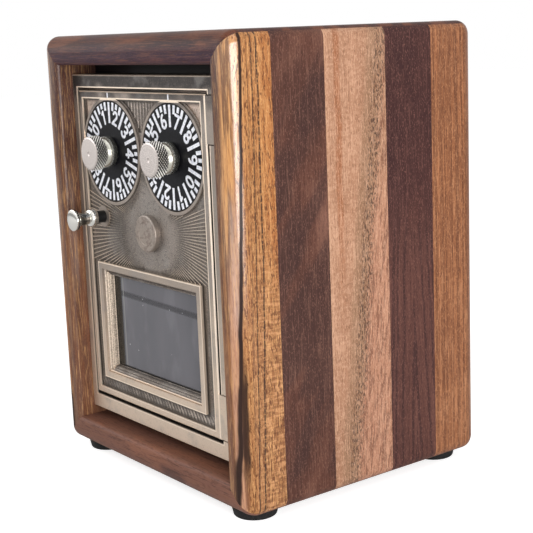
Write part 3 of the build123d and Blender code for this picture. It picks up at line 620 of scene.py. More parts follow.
bronzeMarks = {
    "groove": {"depth": (-0.22, -0.02), "share": 0.7, "tone": bronzeTones["groove"]},
    "burst": {"reach": (15.0, 21.0), "dials": (-2.0, 6.0)},
    "ridge": {"depth": (-0.30, -0.16), "window": (-2.0, 0.0), "share": 0.6, "tone": bronzeTones["worn"]},
    "panel": {"depth": (0.35, 0.55), "up": (0.0, 10.0), "corner": (18.0, 24.0), "share": 0.55},
    "grey": {"cut": (0.50, 0.66), "share": 0.3, "tone": (156, 152, 148)},
    "glint": {"cut": (0.54, 0.68), "share": 0.45, "tone": bronzeTones["worn"]},
    "dust": {"gap": (0.34, 0.46), "share": 0.5, "tone": bronzeTones["dirt"]},
    "pit": {"cut": (0.58, 0.68), "share": 0.5, "tone": bronzeTones["dirt"]},
    "boss": {"reach": (6.4, 6.9), "cut": (0.46, 0.60), "share": 0.5, "tone": (116, 98, 90)},
    "reveal": {"across": (2.3, 2.8, 5.2, 5.6), "ends": 6.0, "cut": (0.44, 0.56), "low": 0.3, "grit": 0.4},
    "edgeDirt": {"reach": (0.4, 1.9), "share": 0.65, "tone": bronzeTones["dirt"]},
    # rubbed-bright edges, which also stand in as a painted highlight along each cast edge
    "edge": {"reach": (0.3, 0.6), "uneven": 0.3, "share": 0.95, "tone": (248, 230, 210)},
}


def bronzeFinish(name, edges=None):    # edges gives the distance from the cast outlines
    look, tones = bronzeLook, bronzeTones
    material, place, (x, y, z) = newFinish(name, {"Metallic": look["metallic"],
                                                  "Specular IOR Level": look["specular"]})
    cloud, grit, pits, mottle = (speckle(place, *look[key]) for key in ("cloud", "grit", "pits", "mottle"))
    marks = bronzeMarks
    depth, inField = y - door["face"], y - door["field"]
    across, up = x - boss.x, z - boss.z
    level = z + (cloud - 0.5) * look["drift"]
    plain = mixed(rise(level, *look["middleUp"]), tones["foot"], tones["middle"])
    plain = mixed(rise(level, *look["headUp"]), plain, tones["head"])
    low = rise(depth, *look["lowDepth"])
    fieldTone = mixed(rise(across, *look["rightFrom"]), tones["field"], tones["fieldRight"])
    colour = mixed(low, plain, fieldTone)

    # the rays' grooves are dark and their ridges worn, all round the boss up to the dials
    reach = across.sum("SQRT", across * across + up * up)
    burst = rise(reach, *marks["burst"]["reach"]) * fall(z - dialCentres["left"].z, *marks["burst"]["dials"])
    colour = laid(colour, marks["groove"], rise(inField, *marks["groove"]["depth"]) * burst)
    ridge = fall(inField, *marks["ridge"]["depth"]) * low * rise(z - window["top"], *marks["ridge"]["window"])
    colour = laid(colour, marks["ridge"], ridge * burst)
    panel = marks["panel"]
    sunk = rise(inField, *panel["depth"]) * rise(up, *panel["up"])
    corner = rise(abs(x - window["x"]), *panel["corner"])
    colour = mixed(sunk * panel["share"], colour, mixed(corner, tones["groove"], tones["rosy"]))

    # grit and pits, coarser in the low parts
    coarse = look["fine"] + low * (1 - look["fine"])
    colour = laid(colour, marks["grey"], rise(cloud, *marks["grey"]["cut"]))
    colour = laid(colour, marks["glint"], rise(grit, *marks["glint"]["cut"]) * coarse)
    colour = laid(colour, marks["dust"], fall(grit, *marks["dust"]["gap"]) * coarse)
    colour = laid(colour, marks["pit"], rise(pits, *marks["pit"]["cut"]) * coarse)
    onBoss = fall(reach, *marks["boss"]["reach"])
    colour = laid(colour, marks["boss"], rise(mottle, *marks["boss"]["cut"]) * onBoss)

    # the left side of the window's reveal is paler, more so where the grit is high
    reveal = marks["reveal"]
    bright = between(x - window["left"], *reveal["across"]) * low
    bright = bright * between(z - window["low"], 0.0, reveal["ends"], window["height"] - reveal["ends"],
                              window["height"])
    share = reveal["low"] + rise(grit, *reveal["cut"]) * reveal["grit"]
    colour = mixed(bright * share, colour, tones["worn"])
    rough = look["rough"] + grit * look["gritRough"]
    if edges:    # dirt lies along the foot of each edge, and the edge itself is rubbed bright, partly a painted highlight
        distance = edges(x, z)
        colour = laid(colour, marks["edgeDirt"], fall(distance, *marks["edgeDirt"]["reach"]) * low)
        # the bright edge is wear and partly a painted highlight
        edge = fall(distance + (grit - 0.5) * marks["edge"]["uneven"], *marks["edge"]["reach"])
        colour = laid(colour, marks["edge"], edge * (1 - low))
        rough = rough - edge * look["edgeSmooth"]
    return wear(material, {"Base Color": colour, "Roughness": rough,
                           "Normal": bumped(grit + pits * look["pitDepth"], *look["bump"])})


def rectangleEdge(x, z, left, right, low, high):    # distance from a rectangle's outline
    sideways = abs(x - (left + right) / 2) - (right - left) / 2
    upwards = abs(z - (low + high) / 2) - (high - low) / 2
    return abs(larger(sideways, upwards))


def doorEdges(x, z):
    rim = door["rim"]
    outer = rectangleEdge(x, z, door["left"], door["right"], door["low"], door["top"])
    inner = rectangleEdge(x, z, door["left"] + rim, door["right"] - rim, door["low"] + rim, door["top"] - rim)
    pane = rectangleEdge(x, z, window["left"], window["right"], window["low"], window["top"])
    return smaller(smaller(outer, inner), pane)


def frameEdges(x, z):
    outer = rectangleEdge(x, z, frameLow.x, frameHigh.x, frameLow.z, frameHigh.z)
    inner = rectangleEdge(x, z, door["left"] - door["gapLeft"], door["right"] + door["gapRight"],
                          door["low"] - door["gapEnds"], door["top"] + door["gapEnds"])
    return smaller(outer, inner)


bronze = {"door": bronzeFinish("doorBronze", doorEdges), "frame": bronzeFinish("frameBronze", frameEdges),
          "trim": bronzeFinish("trimBronze")}


# Plain metals: colour with stains and fine grit
metalLook = {"cloud": (0.25, 3.0, 0.6), "cut": (0.45, 0.7), "share": 0.6, "gritDetail": (3.0, 0.7),
             "gritRough": 0.12, "bump": (0.12, 0.05)}


def metalFinish(name, colour, stain, metallic, roughness, grain=1.6):
    material, place = newFinish(name, {"Metallic": metallic})[:2]
    cloud = speckle(place, *metalLook["cloud"])
    grit = speckle(place, grain, *metalLook["gritDetail"])
    shade = mixed(rise(cloud, *metalLook["cut"]) * metalLook["share"], colour, stain)
    return gritty(material, shade, roughness, grit, metalLook)


metals = {
    "blackSteel": metalFinish("blackSteel", (22, 22, 24), (40, 38, 36), 0.4, 0.3),
    "steel": metalFinish("plainSteel", (168, 166, 160), (120, 112, 102), 1.0, 0.25),
    "brass": metalFinish("sheetBrass", (186, 156, 98), (132, 104, 66), 1.0, 0.3, 0.9),
}


# The turned knobs, by their height over the dial: a hub tinted yellowish as a painted reflection of the
# bronze, painted shade between the points of the knurl and where the knurl meets the hub, and a bright,
# mottled face
knobLook = {"metallic": 0.95, "hub": (196, 195, 184), "face": (214, 205, 200), "knurl": (240, 236, 230),
            "recessShade": (36, 35, 32), "mottle": (164, 156, 152), "hubEnd": (4.9, 5.4), "knurlFrom": (5.3, 5.6),
            "faceFrom": (9.35, 9.6), "grit": (2.4, 3.0, 0.7), "turning": (2.2, 1.0), "turningShare": 0.4,
            "mottleCut": (0.62, 0.80), "mottleLow": 0.25, "mottleFace": 0.35, "valley": (6.1, 6.4),
            "valleyShare": 0.9, "neck": (5.05, 0.35), "neckShare": 0.8, "rough": 0.18, "faceRough": 0.22,
            "knurlRough": 0.1, "gritRough": 0.08, "bump": (0.15, 0.05)}


def knobFinish():
    look = knobLook
    material, place, (x, y, z) = newFinish("knobNickel", {"Metallic": look["metallic"]})
    offsets = [joined(x - c.x, 0.0, z - c.z) for c in dialCentres.values()]
    reach = smaller(*(o.add("ShaderNodeVectorMath", {"operation": "LENGTH"}, {0: o}, 1) for o in offsets))
    out = dialCentres["left"].y - y
    grit = speckle(place, *look["grit"])
    face = rise(out, *look["faceFrom"])
    knurled = rise(out, *look["knurlFrom"]) * (1 - face)
    turning = speckle(joined(reach, 0.0, 0.0), *look["turning"])
    # the hub's colour carries a painted yellowish reflection of the bronze
    shade = mixed(rise(out, *look["hubEnd"]), look["hub"], look["face"])
    shade = mixed(knurled, shade, look["knurl"])
    mottle = rise(grit + turning * look["turningShare"], *look["mottleCut"])
    shade = mixed(mottle * (look["mottleLow"] + face * look["mottleFace"]), shade, look["mottle"])
    # painted shade in the valleys of the knurl
    shade = mixed(knurled * fall(reach, *look["valley"]) * look["valleyShare"], shade, look["recessShade"])
    # painted shade in the groove where the knurl meets the hub
    shade = mixed(near(out, *look["neck"]) * look["neckShare"], shade, look["recessShade"])
    rough = look["rough"] + face * look["faceRough"] + knurled * look["knurlRough"]
    return gritty(material, shade, rough, grit, look)


metals["knobNickel"] = knobFinish()

# The spool latch knob: bright plate, with painted dark reflections round its waist and where the disc meets
# it, both by their share of its length
latchLook = {"plate": (226, 224, 218), "darkReflection": (74, 72, 68), "waist": (0.40, 0.17), "waistShare": 0.75,
             "disc": (0.14, 0.05), "discShare": 0.9, "grit": (1.6, 3.0, 0.7),
             "rough": 0.07, "gritRough": 0.06, "bump": (0.08, 0.04)}


def latchFinish():
    look = latchLook
    material, place, (x, y, z) = newFinish("latchNickel", {"Metallic": 1.0})
    low, high = boxOf("latch_knob")
    along = (y - low.y) / (high.y - low.y)
    grit = speckle(place, *look["grit"])
    waist, disc = (near(along, *look[key]) * look[key + "Share"] for key in ("waist", "disc"))
    # painted dark reflections round the waist and the disc
    shade = mixed(larger(waist, disc), look["plate"], look["darkReflection"])
    return gritty(material, shade, look["rough"], grit, look)


metals["latchNickel"] = latchFinish()

dullLook = {"grit": (1.4, 3.0, 0.6), "cut": (0.4, 0.65), "gritRough": 0.15, "bump": (0.2, 0.08)}


def dullFinish(name, colour, other, roughness, level=0.3):
    material, place = newFinish(name, {"Specular IOR Level": level})[:2]
    grit = speckle(place, *dullLook["grit"])
    return gritty(material, mixed(rise(grit, *dullLook["cut"]), colour, other), roughness, grit, dullLook)


dull = {
    "rubber": dullFinish("footRubber", (18, 18, 19), (34, 32, 32), 0.55),
    "felt": dullFinish("blackFelt", (12, 12, 12), (28, 27, 27), 0.9, 0.1),
    "enamel": dullFinish("dialEnamel", (10, 10, 14), (22, 22, 28), 0.34, 0.12),
    "white": dullFinish("dialWhite", (246, 246, 250), (214, 216, 226), 0.5, 0.2),
}


# Smoky glass with what shows through it painted on: the inner wall at the left in painted shade, a painted
# highlight along its edge, and a shelf's painted shadow
glassLook = {
    "specular": 0.4, "dark": (92, 91, 96), "pale": (120, 118, 124),
    "cloud": {"stretch": (1, 1, 0.4), "scale": 0.05, "detail": 3.0},
    "haze": {"stretch": (1.3, 1, 0.6), "scale": 0.07, "detail": 3.0, "cut": (0.50, 0.68), "share": 0.4,
             "tone": (132, 130, 136)},
    "dust": {"scale": 0.8, "cut": (0.86, 0.88), "share": 1.0, "tone": (210, 210, 214)},
    "shelf": {"up": 11.0, "half": 1.5, "slope": 0.02, "share": 0.75, "tone": (52, 51, 55)},
    # painted shade: the inner wall in shadow, seen through the glass
    "wall": {"left": (4.6, 5.1), "low": (0.5, 1.1), "tone": (12, 12, 11)},
    # a painted highlight along the inner wall's edge
    "edge": {"drift": (2.0, 0.05, 0.8), "at": (6.2, 0.45), "share": 0.5, "tone": (168, 168, 162)},
    "rough": 0.08, "cloudRough": 0.06, "wallAlpha": 0.94, "clearer": 0.10,
}


def glassFinish():
    look = glassLook
    haze, dust, shelf, wall, edge = (look[key] for key in ("haze", "dust", "shelf", "wall", "edge"))
    material, place, (x, y, z) = newFinish("smokyGlass", {"Specular IOR Level": look["specular"]})
    inset = window["band"] + window["splay"]
    left, up = x - (window["left"] + inset), z - (window["low"] + inset)
    cloud = stretched(look["cloud"], x, y, z)
    shade = mixed(cloud, look["dark"], look["pale"])
    shade = laid(shade, haze, patches(haze, x, y, z))
    level = z - window["z"] + (x - window["x"]) * shelf["slope"]
    shade = laid(shade, shelf, near(level, shelf["up"], shelf["half"]))
    beside = smaller(rise(left, *wall["left"]), rise(up, *wall["low"]))    # 0 where the inner wall shows
    # painted shade where the inner wall shows
    shade = mixed(beside, wall["tone"], shade)
    # painted highlight along the inner wall's edge
    shade = laid(shade, edge, wavering(left, z, edge) * beside)
    shade = laid(shade, dust, rise(speckle(place, dust["scale"], 0.0), *dust["cut"]))
    return wear(material, {"Base Color": shade, "Roughness": look["rough"] + cloud * look["cloudRough"],
                           "Alpha": look["wallAlpha"] - beside * look["clearer"]})


glass = glassFinish()
print("metals and glass made")


# Every CAD node gets its finish
nodeFinish = {
    "top_board": woods["board"], "bottom_board": woods["board"], "back_panel": woods["panel"],
    "rail_top": woods["stain"], "rail_bottom": woods["stain"],
    "door_frame": bronze["frame"], "door_panel": bronze["door"], "centre_boss": bronze["door"],
    "window_glass": glass, "window_gasket": dull["felt"], "latch_knob": metals["latchNickel"],
    "latch_spindle": metals["blackSteel"],
}
for name in ("window_retainer", "boss_nut", "lock_case", "lock_cover", "fence_lever", "latch_bolt",
             "latch_cam"):
    nodeFinish[name] = metals["brass"]
for side in ("left", "right"):
    stripFinishes = ("front", "walnut", "tan", "plum", "orange")
    for i, finish in enumerate(stripFinishes):
        nodeFinish[f"{side}_strip_{i + 1}"] = woods[finish]
    nodeFinish[f"foot_front_{side}"] = nodeFinish[f"foot_back_{side}"] = dull["rubber"]
    nodeFinish[side + "_dial"] = dull["enamel"]
    for part in ("_bush", "_wheel", "_wheel_nut"):
        nodeFinish[side + part] = metals["brass"]
for name, node in nodes.items():
    node.data.materials.clear()
    node.data.materials.append(nodeFinish.get(name, metals["steel"]))
print("nodes dressed")


def addPiece(name, shape, body, finish, replaced=()):
    mesh = bpy.data.meshes.new(name)
    shape.transform(Matrix.Scale(mm, 4))
    shape.to_mesh(mesh)
    shape.free()
    mesh.materials.append(finish)
    piece = bpy.data.objects.new(name, mesh)
    bpy.context.scene.collection.objects.link(piece)
    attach(piece, body)
    if replaced:
        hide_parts(*replaced)
    return piece


def copyOf(node):    # a merged copy of a node's own mesh, in millimetres
    shape = bmesh.new()
    shape.from_mesh(nodes[node].data)
    bmesh.ops.remove_doubles(shape, verts=shape.verts, dist=weld * mm)
    bmesh.ops.scale(shape, vec=(1 / mm, 1 / mm, 1 / mm), verts=shape.verts)
    return shape


def shadeRound(shape, sharpest=35.0):    # smooth shading, except at edges sharper than this many degrees
    for face in shape.faces:
        face.smooth = True
    for edge in shape.edges:
        edge.smooth = edge.calc_face_angle(math.pi) < math.radians(sharpest)
    return shape


def turned(points, steps):    # spins an outline of radius and height points round Z
    shape = bmesh.new()
    verts = [shape.verts.new((r, 0.0, h)) for r, h in points]
    edges = [shape.edges.new(pair) for pair in zip(verts, verts[1:])]
    bmesh.ops.spin(shape, geom=verts + edges, cent=(0, 0, 0), axis=(0, 0, 1), angle=2 * math.pi,
                   steps=steps, use_merge=True)
    bmesh.ops.remove_doubles(shape, verts=shape.verts, dist=weld)
    bmesh.ops.recalc_face_normals(shape, faces=shape.faces)
    return shape


def addBar(shape, matrix, length, width, height, topShare=1.0):
    made = bmesh.ops.create_cube(shape, size=1.0)["verts"]
    for v in made:
        if v.co.z > 0:
            v.co.y *= topShare
        v.co.x *= length
        v.co.y *= width
        v.co.z *= height
    bmesh.ops.transform(shape, matrix=matrix, verts=made)
    return made


# Turned so that a shape drawn in X and Y, with Z as its height, stands on the door and faces -Y
onDoor = Matrix.Rotation(math.radians(90), 4, "X")
upright = Matrix.Rotation(math.radians(90), 4, "Z")    # sets a bar's length along the door's height

# Each touch of paint is a layer thicker than the one before, so that no two faces lie in one plane
brush = {"layer": 0.003, "roundness": 12}


# A flat painted stroke that follows a line of points, with round ends
def addStroke(shape, points, width, height):
    for first, second in zip(points, points[1:]):
        run = Vector(second) - Vector(first)
        middle = (Vector(first) + Vector(second)) / 2
        height += brush["layer"]
        turn = Matrix.Translation((middle.x, middle.y, 0)) @ Matrix.Rotation(math.atan2(run.y, run.x), 4, "Z")
        addBar(shape, turn, run.length, width, height)
    for point in points:
        height += brush["layer"]
        spot = Matrix.Translation((point[0], point[1], 0))
        bmesh.ops.create_cone(shape, cap_ends=True, segments=brush["roundness"], radius1=width / 2,
                              radius2=width / 2, depth=height, matrix=spot)


def bow(middle, radii, start, end, steps=10):    # points along part of an oval, angles in degrees
    angles = [math.radians(start + (end - start) * i / steps) for i in range(steps + 1)]
    return [(middle[0] + radii[0] * math.cos(a), middle[1] + radii[1] * math.sin(a)) for a in angles]


# Plain figures, one unit tall, each a list of strokes
figures = {
    "0": [bow((0, 0), (0.27, 0.5), 0, 360, 16)],
    "1": [[(-0.15, 0.32), (0.04, 0.5), (0.04, -0.5)]],
    "2": [bow((0, 0.22), (0.27, 0.28), 165, -35) + [(-0.28, -0.5), (0.30, -0.5)]],
    "3": [bow((-0.02, 0.25), (0.26, 0.25), 150, -90) + bow((-0.02, -0.25), (0.29, 0.25), 90, -150)],
    "4": [[(0.14, -0.5), (0.14, 0.5), (-0.30, -0.2), (0.32, -0.2)]],
    "5": [[(0.24, 0.5), (-0.20, 0.5), (-0.24, 0.06)] + bow((-0.02, -0.17), (0.28, 0.33), 130, -150)],
    "6": [bow((0, -0.22), (0.27, 0.28), 0, 360, 14), bow((0.06, -0.14), (0.33, 0.64), 180, 98)],
    "7": [[(-0.26, 0.5), (0.28, 0.5), (-0.06, -0.5)]],
    "8": [bow((0, 0.26), (0.23, 0.24), 0, 360, 12), bow((0, -0.24), (0.28, 0.26), 0, 360, 12)],
    "9": [bow((0, 0.22), (0.27, 0.28), 0, 360, 14), bow((-0.06, 0.14), (0.33, 0.64), 0, -82)],
}

# Dial marks: long lines, short ticks and the figures
dialMarks = {"sectors": 10, "longFrom": 10.8, "longTo": 18.7, "longWidth": 1.3, "tickTo": 18.8,
             "tickFrom": [15.6, 16.7, 15.6], "tickAt": [0.26, 0.5, 0.74], "tickWidth": 1.4, "numberAt": 13.3,
             "numberHeight": 4.7, "stroke": 1.05, "raise": 0.05, "first": {"left": 2, "right": 7}}


def dialMarkShape(side):
    shape = bmesh.new()
    count = dialMarks["sectors"]
    step = 2 * math.pi / count
    for i in range(count):
        lines = [(i * step, dialMarks["longFrom"], dialMarks["longTo"], dialMarks["longWidth"])]
        for at, start in zip(dialMarks["tickAt"], dialMarks["tickFrom"]):
            lines.append(((i + at) * step, start, dialMarks["tickTo"], dialMarks["tickWidth"]))
        for angle, start, end, width in lines:
            turn = upright @ Matrix.Rotation(-angle, 4, "Z") @ Matrix.Translation(((start + end) / 2, 0, 0))
            addBar(shape, turn, end - start, width, 2 * dialMarks["raise"])
        figure = bmesh.new()
        for stroke in figures[str((dialMarks["first"][side] + i) % 10)]:
            points = [(x * dialMarks["numberHeight"], y * dialMarks["numberHeight"]) for x, y in stroke]
            addStroke(figure, points, dialMarks["stroke"], 2 * dialMarks["raise"])
        turn = Matrix.Rotation(-(i + 0.5) * step, 4, "Z") @ Matrix.Translation((0, dialMarks["numberAt"], 0))
        bmesh.ops.transform(figure, matrix=turn, verts=figure.verts)
        drawn = bpy.data.meshes.new("figure")
        figure.to_mesh(drawn)
        figure.free()
        shape.from_mesh(drawn)
        bpy.data.meshes.remove(drawn)
    bmesh.ops.transform(shape, matrix=Matrix.Translation(dialCentres[side]) @ onDoor, verts=shape.verts)
    return shape


# Knob: turned on a lathe, then knurled by pushing every second point of the band out
knob = {"profile": [(0.0, 0.0), (5.0, 0.0), (5.5, 0.5), (5.85, 1.3), (6.0, 2.3), (5.85, 3.3), (5.45, 4.2),
                    (5.0, 4.75), (4.75, 5.0), (4.75, 5.3), (5.2, 5.5), (6.1, 5.5)],
        "band": (5.7, 9.3), "bandRadius": 6.3, "rows": 8, "teeth": 30, "knurl": 0.36,
        "cap": [(6.1, 9.6), (5.6, 9.85), (0.9, 9.9), (0.5, 9.65), (0.0, 9.6)], "sharpest": 20.0}


def knobShape(side):
    low, high = knob["band"]
    rows = knob["rows"]
    band = [(knob["bandRadius"], low + (high - low) * i / (rows - 1)) for i in range(rows)]
    shape = turned(knob["profile"] + band + knob["cap"], 2 * knob["teeth"])
    spacing = (high - low) / (rows - 1)
    slack = 0.01
    for v in shape.verts:
        onBand = low - slack < v.co.z < high + slack and abs(v.co.xy.length - knob["bandRadius"]) < slack
        if onBand:
            row = round((v.co.z - low) / spacing)
            column = round(math.atan2(v.co.y, v.co.x) / (math.pi / knob["teeth"]))
            push = knob["knurl"] if (column + row) % 2 else -knob["knurl"]
            v.co.xy *= 1 + push / knob["bandRadius"]
    # the short diagonals run along the valleys, so each raised point becomes a small pyramid
    bmesh.ops.triangulate(shape, faces=shape.faces, quad_method="SHORT_EDGE")
    bmesh.ops.recalc_face_normals(shape, faces=shape.faces)
    bmesh.ops.transform(shape, matrix=Matrix.Translation(dialCentres[side]) @ onDoor, verts=shape.verts)
    return shadeRound(shape, knob["sharpest"])


for side in ("left", "right"):
    addPiece(side + "DialMarks", dialMarkShape(side), side + "_dial_set", dull["white"])
    addPiece(side + "KnurledKnob", knobShape(side), side + "_dial_set", metals["knobNickel"],
             [side + "_knob"])

# Latch knob: a spool with a bead at its foot, a waist and a domed disc, bored for its spindle
spool = {"bore": (1.55, 6.2), "collar": 2.39, "bead": (1.26, 3.4), "waist": 2.4, "disc": 4.15,
         "discFrom": 9.0, "flareShare": 2 / 3, "dome": 0.5, "steps": 72, "beadSteps": 16, "bowSteps": 12}


def spoolShape():
    low, high = boxOf("latch_knob")
    reach = high.y - low.y
    boreRadius, boreDepth = spool["bore"]
    beadBulge, beadLength = spool["bead"]
    flare = (spool["discFrom"] - beadLength) * spool["flareShare"]
    points = [(0.0, boreDepth), (boreRadius, boreDepth), (boreRadius, 0.0)]
    points += bow((spool["collar"], beadLength / 2), (beadBulge, beadLength / 2), -90, 90, spool["beadSteps"])
    waist = (spool["disc"] - spool["waist"], flare)
    points += bow((spool["disc"], spool["discFrom"] - flare), waist, 180, 90, spool["bowSteps"])
    points += bow((0.0, reach - spool["dome"]), (spool["disc"], spool["dome"]), 0, 90, spool["bowSteps"])
    shape = turned(points, spool["steps"])
    middle = Vector(((low.x + high.x) / 2, high.y, (low.z + high.z) / 2))
    bmesh.ops.transform(shape, matrix=Matrix.Translation(middle) @ onDoor, verts=shape.verts)
    return shadeRound(shape)


addPiece("latchSpool", spoolShape(), "latch_handle", metals["latchNickel"], ["latch_knob"])
print("dials and knobs made")

# Sunburst: tapered ridges that fan out from the boss over the field
rays = {"count": 164, "start": 14.0, "shortest": 2.0, "height": 0.42, "share": 0.5, "clear": 0.4,
        "upright": 0.35, "crest": 0.45, "foot": 0.15}


def rayEnd(angle):    # how far from the boss a ray reaches
    across, up = math.cos(angle), math.sin(angle)
    wall = door["right"] - door["rim"] if across > 0 else door["left"] + door["rim"]
    ceiling = door["top"] - door["spandrelDrop"] if up > 0 else window["top"]
    ends = [(wall - boss.x) / across, (ceiling - boss.z) / up]
    for centre in dialCentres.values():
        offset = Vector((centre.x - boss.x, centre.z - boss.z))
        along = offset.x * across + offset.y * up
        aside = offset.length_squared - along * along
        inside = door["dialRing"] ** 2 - aside
        if inside > 0 and along > 0:
            ends.append(along - math.sqrt(inside))
    return min(ends) - rays["clear"]


def rayShape():
    shape = bmesh.new()
    step = 2 * math.pi / rays["count"]
    for i in range(rays["count"]):
        angle = (i + 0.5) * step
        end = rayEnd(angle)
        length = end - rays["start"]
        if length < rays["shortest"]:
            continue
        widthIn, widthOut = (r * step * rays["share"] for r in (rays["start"], end))
        height = rays["height"] * (rays["upright"] + (1 - rays["upright"]) * abs(math.cos(angle)))
        made = addBar(shape, Matrix.Identity(4), length, 1.0, 2 * height, rays["crest"])
        for v in made:
            outer = v.co.x > 0
            v.co.y *= widthOut if outer else widthIn
            if not outer:
                v.co.z *= rays["foot"]
        place = (Matrix.Translation((boss.x, door["field"], boss.z)) @ onDoor @ Matrix.Rotation(angle, 4, "Z")
                 @ Matrix.Translation((rays["start"] + length / 2, 0, 0)))
        bmesh.ops.transform(shape, matrix=place, verts=made)
    return shape


addPiece("sunburstRays", rayShape(), "door", bronze["door"])

# Reeded band under the window, never quite even
reeds = {"pitch": 2.1, "width": 1.15, "height": 0.3, "uneven": 0.3, "wave": 1.7, "worn": 0.4, "lean": 32.0,
         "margin": 0.3, "around": 8, "rings": 6}


def reedShape():
    shape = bmesh.new()
    start, end = door["left"] + door["rim"], door["right"] - door["rim"]
    bandLow, bandHigh = door["low"] + door["rim"], door["low"] + window["up"]
    count = int((end - start) / reeds["pitch"])
    length = (bandHigh - bandLow - 2 * reeds["margin"]) / math.cos(math.radians(reeds["lean"]))
    for i in range(count):
        spot = (start + (i + 0.5) * (end - start) / count, door["field"], (bandLow + bandHigh) / 2)
        place = Matrix.Translation(spot) @ onDoor @ Matrix.Rotation(math.radians(90 + reeds["lean"]), 4, "Z")
        made = bmesh.ops.create_uvsphere(shape, u_segments=reeds["around"], v_segments=reeds["rings"],
                                         radius=0.5)["verts"]
        worn = reeds["worn"] + (1 - reeds["worn"]) * i / count    # lower towards the left
        height = reeds["height"] * (1 + reeds["uneven"] * math.sin(reeds["wave"] * i)) * worn
        bmesh.ops.scale(shape, vec=(length, reeds["width"], 2 * height), verts=made)
        bmesh.ops.transform(shape, matrix=place, verts=made)
    return shape


addPiece("reededBand", reedShape(), "door", bronze["door"])

# Upright ribs on the sunk panel between the dials
ribs = {"count": 9, "halfSpan": 8.2, "width": 0.8, "height": 0.3, "deep": 0.6, "crest": 0.35,
        "clearTop": 0.9, "clearRing": 0.8, "shortest": 1.0}


def ribShape():
    shape = bmesh.new()
    top = door["top"] - door["rim"] - ribs["clearTop"]
    left, right = dialCentres["left"].x, dialCentres["right"].x
    for i in range(ribs["count"]):
        x = -ribs["halfSpan"] + 2 * ribs["halfSpan"] * i / (ribs["count"] - 1)
        inside = max(0.0, door["dialRing"] ** 2 - ((right - left) / 2 - abs(x)) ** 2)
        low = dialCentres["left"].z + math.sqrt(inside) + ribs["clearRing"]
        if low < top - ribs["shortest"]:
            spot = ((left + right) / 2 + x, door["field"] + ribs["deep"], (low + top) / 2)
            addBar(shape, Matrix.Translation(spot) @ onDoor @ upright, top - low, ribs["width"],
                   2 * ribs["height"], ribs["crest"])
    return shape


addPiece("spandrelRibs", ribShape(), "door", bronze["door"])

# Mouldings round the window's splay: one profile carried round the rectangle with mitred corners
moulding = {"corners": [(-1, -1), (1, -1), (1, 1), (-1, 1)],
            "profile": [(0.02, 1.0), (0.02, 0.85), (0.35, 0.72), (0.62, 0.85), (0.80, 1.35), (1.15, 1.55),
                        (1.30, 1.38), (1.52, 1.50), (1.70, 1.95), (2.02, 2.12), (2.20, 2.02), (2.42, 2.30),
                        (2.55, 3.0), (2.55, 3.5), (2.75, 3.75), (0.30, 1.6)]}


def mouldingShape():
    shape = bmesh.new()
    rings = []
    for inset, depth in moulding["profile"]:
        halfWidth, halfHeight = (window[key] / 2 - window["band"] - inset for key in ("width", "height"))
        y = door["face"] - window["proud"] + depth
        rings.append([shape.verts.new((window["x"] + i * halfWidth, y, window["z"] + j * halfHeight))
                      for i, j in moulding["corners"]])
    for ring, following in zip(rings, rings[1:] + rings[:1]):
        for i in range(4):
            shape.faces.new((ring[i], ring[i - 1], following[i - 1], following[i]))
    bmesh.ops.recalc_face_normals(shape, faces=shape.faces)
    return shape


addPiece("windowMoulding", mouldingShape(), "door", bronze["trim"])

# White index lines in the rim above the dials
indexLine = {"width": 0.7, "length": 1.9, "height": 0.55, "proud": 0.1, "crest": 0.8}


def indexShape():
    shape = bmesh.new()
    for centre in dialCentres.values():
        y = door["face"] + indexLine["height"] / 2 - indexLine["proud"]
        place = Matrix.Translation((centre.x, y, door["top"] - door["rim"] / 2)) @ onDoor @ upright
        addBar(shape, place, indexLine["length"], indexLine["width"], indexLine["height"], indexLine["crest"])
    return shape


addPiece("indexLines", indexShape(), "door", dull["white"])

# A faint raised ring on the boss
bossRing = {"radius": 4.4, "width": 0.5, "height": 0.12, "steps": 64,
            "outline": [(-0.5, -0.1), (-0.25, 1.0), (0.25, 1.0), (0.5, -0.1), (-0.5, -0.1)]}


def bossRingShape():
    points = [(bossRing["radius"] + i * bossRing["width"], j * bossRing["height"])
              for i, j in bossRing["outline"]]
    shape = turned(points, bossRing["steps"])
    bmesh.ops.transform(shape, matrix=Matrix.Translation(boss) @ onDoor, verts=shape.verts)
    return shape


addPiece("bossRing", bossRingShape(), "door", bronze["trim"])

# Cross slots in the back panel's screws, whose heads' middles lie inside the outer edge of their group
crossSlot = {"length": 3.2, "width": 0.7, "height": 0.06, "inside": 2.7, "turns": (20, 110)}


def crossSlotShape():
    shape = bmesh.new()
    low, high = boxOf("back_panel_screws")
    inside = crossSlot["inside"]
    for x in (low.x + inside, high.x - inside):
        for z in (low.z + inside, high.z - inside):
            for turn in crossSlot["turns"]:
                head = Matrix.Translation((x, high.y, z))
                place = head @ onDoor @ Matrix.Rotation(math.radians(turn), 4, "Z")
                addBar(shape, place, crossSlot["length"], crossSlot["width"], crossSlot["height"])
    return shape


addPiece("crossSlots", crossSlotShape(), "case", metals["blackSteel"])

# The latch spring is a smooth-shaded copy of its node with a mesh of its own; on the lock it shortens as the
# bolt slides back against its fixed end
springPiece = addPiece("coilSpring", shadeRound(copyOf("latch_spring")), "door", metals["steel"],
                       ["latch_spring"])
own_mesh(springPiece)
print("door casting detailed")

# Camera, as the photograph was taken
view = {"place": (0.38206, -0.28224, 0.16756), "turn": (79.102, 2.246, 52.455), "lens": 82.712,
        "sensor": 36.0, "nearest": 0.01}
cameraData = bpy.data.cameras.new("camera")
cameraData.lens = view["lens"]
cameraData.sensor_width = view["sensor"]
cameraData.clip_start = view["nearest"]
camera = bpy.data.objects.new("camera", cameraData)
camera.location = view["place"]
camera.rotation_euler = [math.radians(a) for a in view["turn"]]
bpy.context.scene.collection.objects.link(camera)
bpy.context.scene.camera = camera

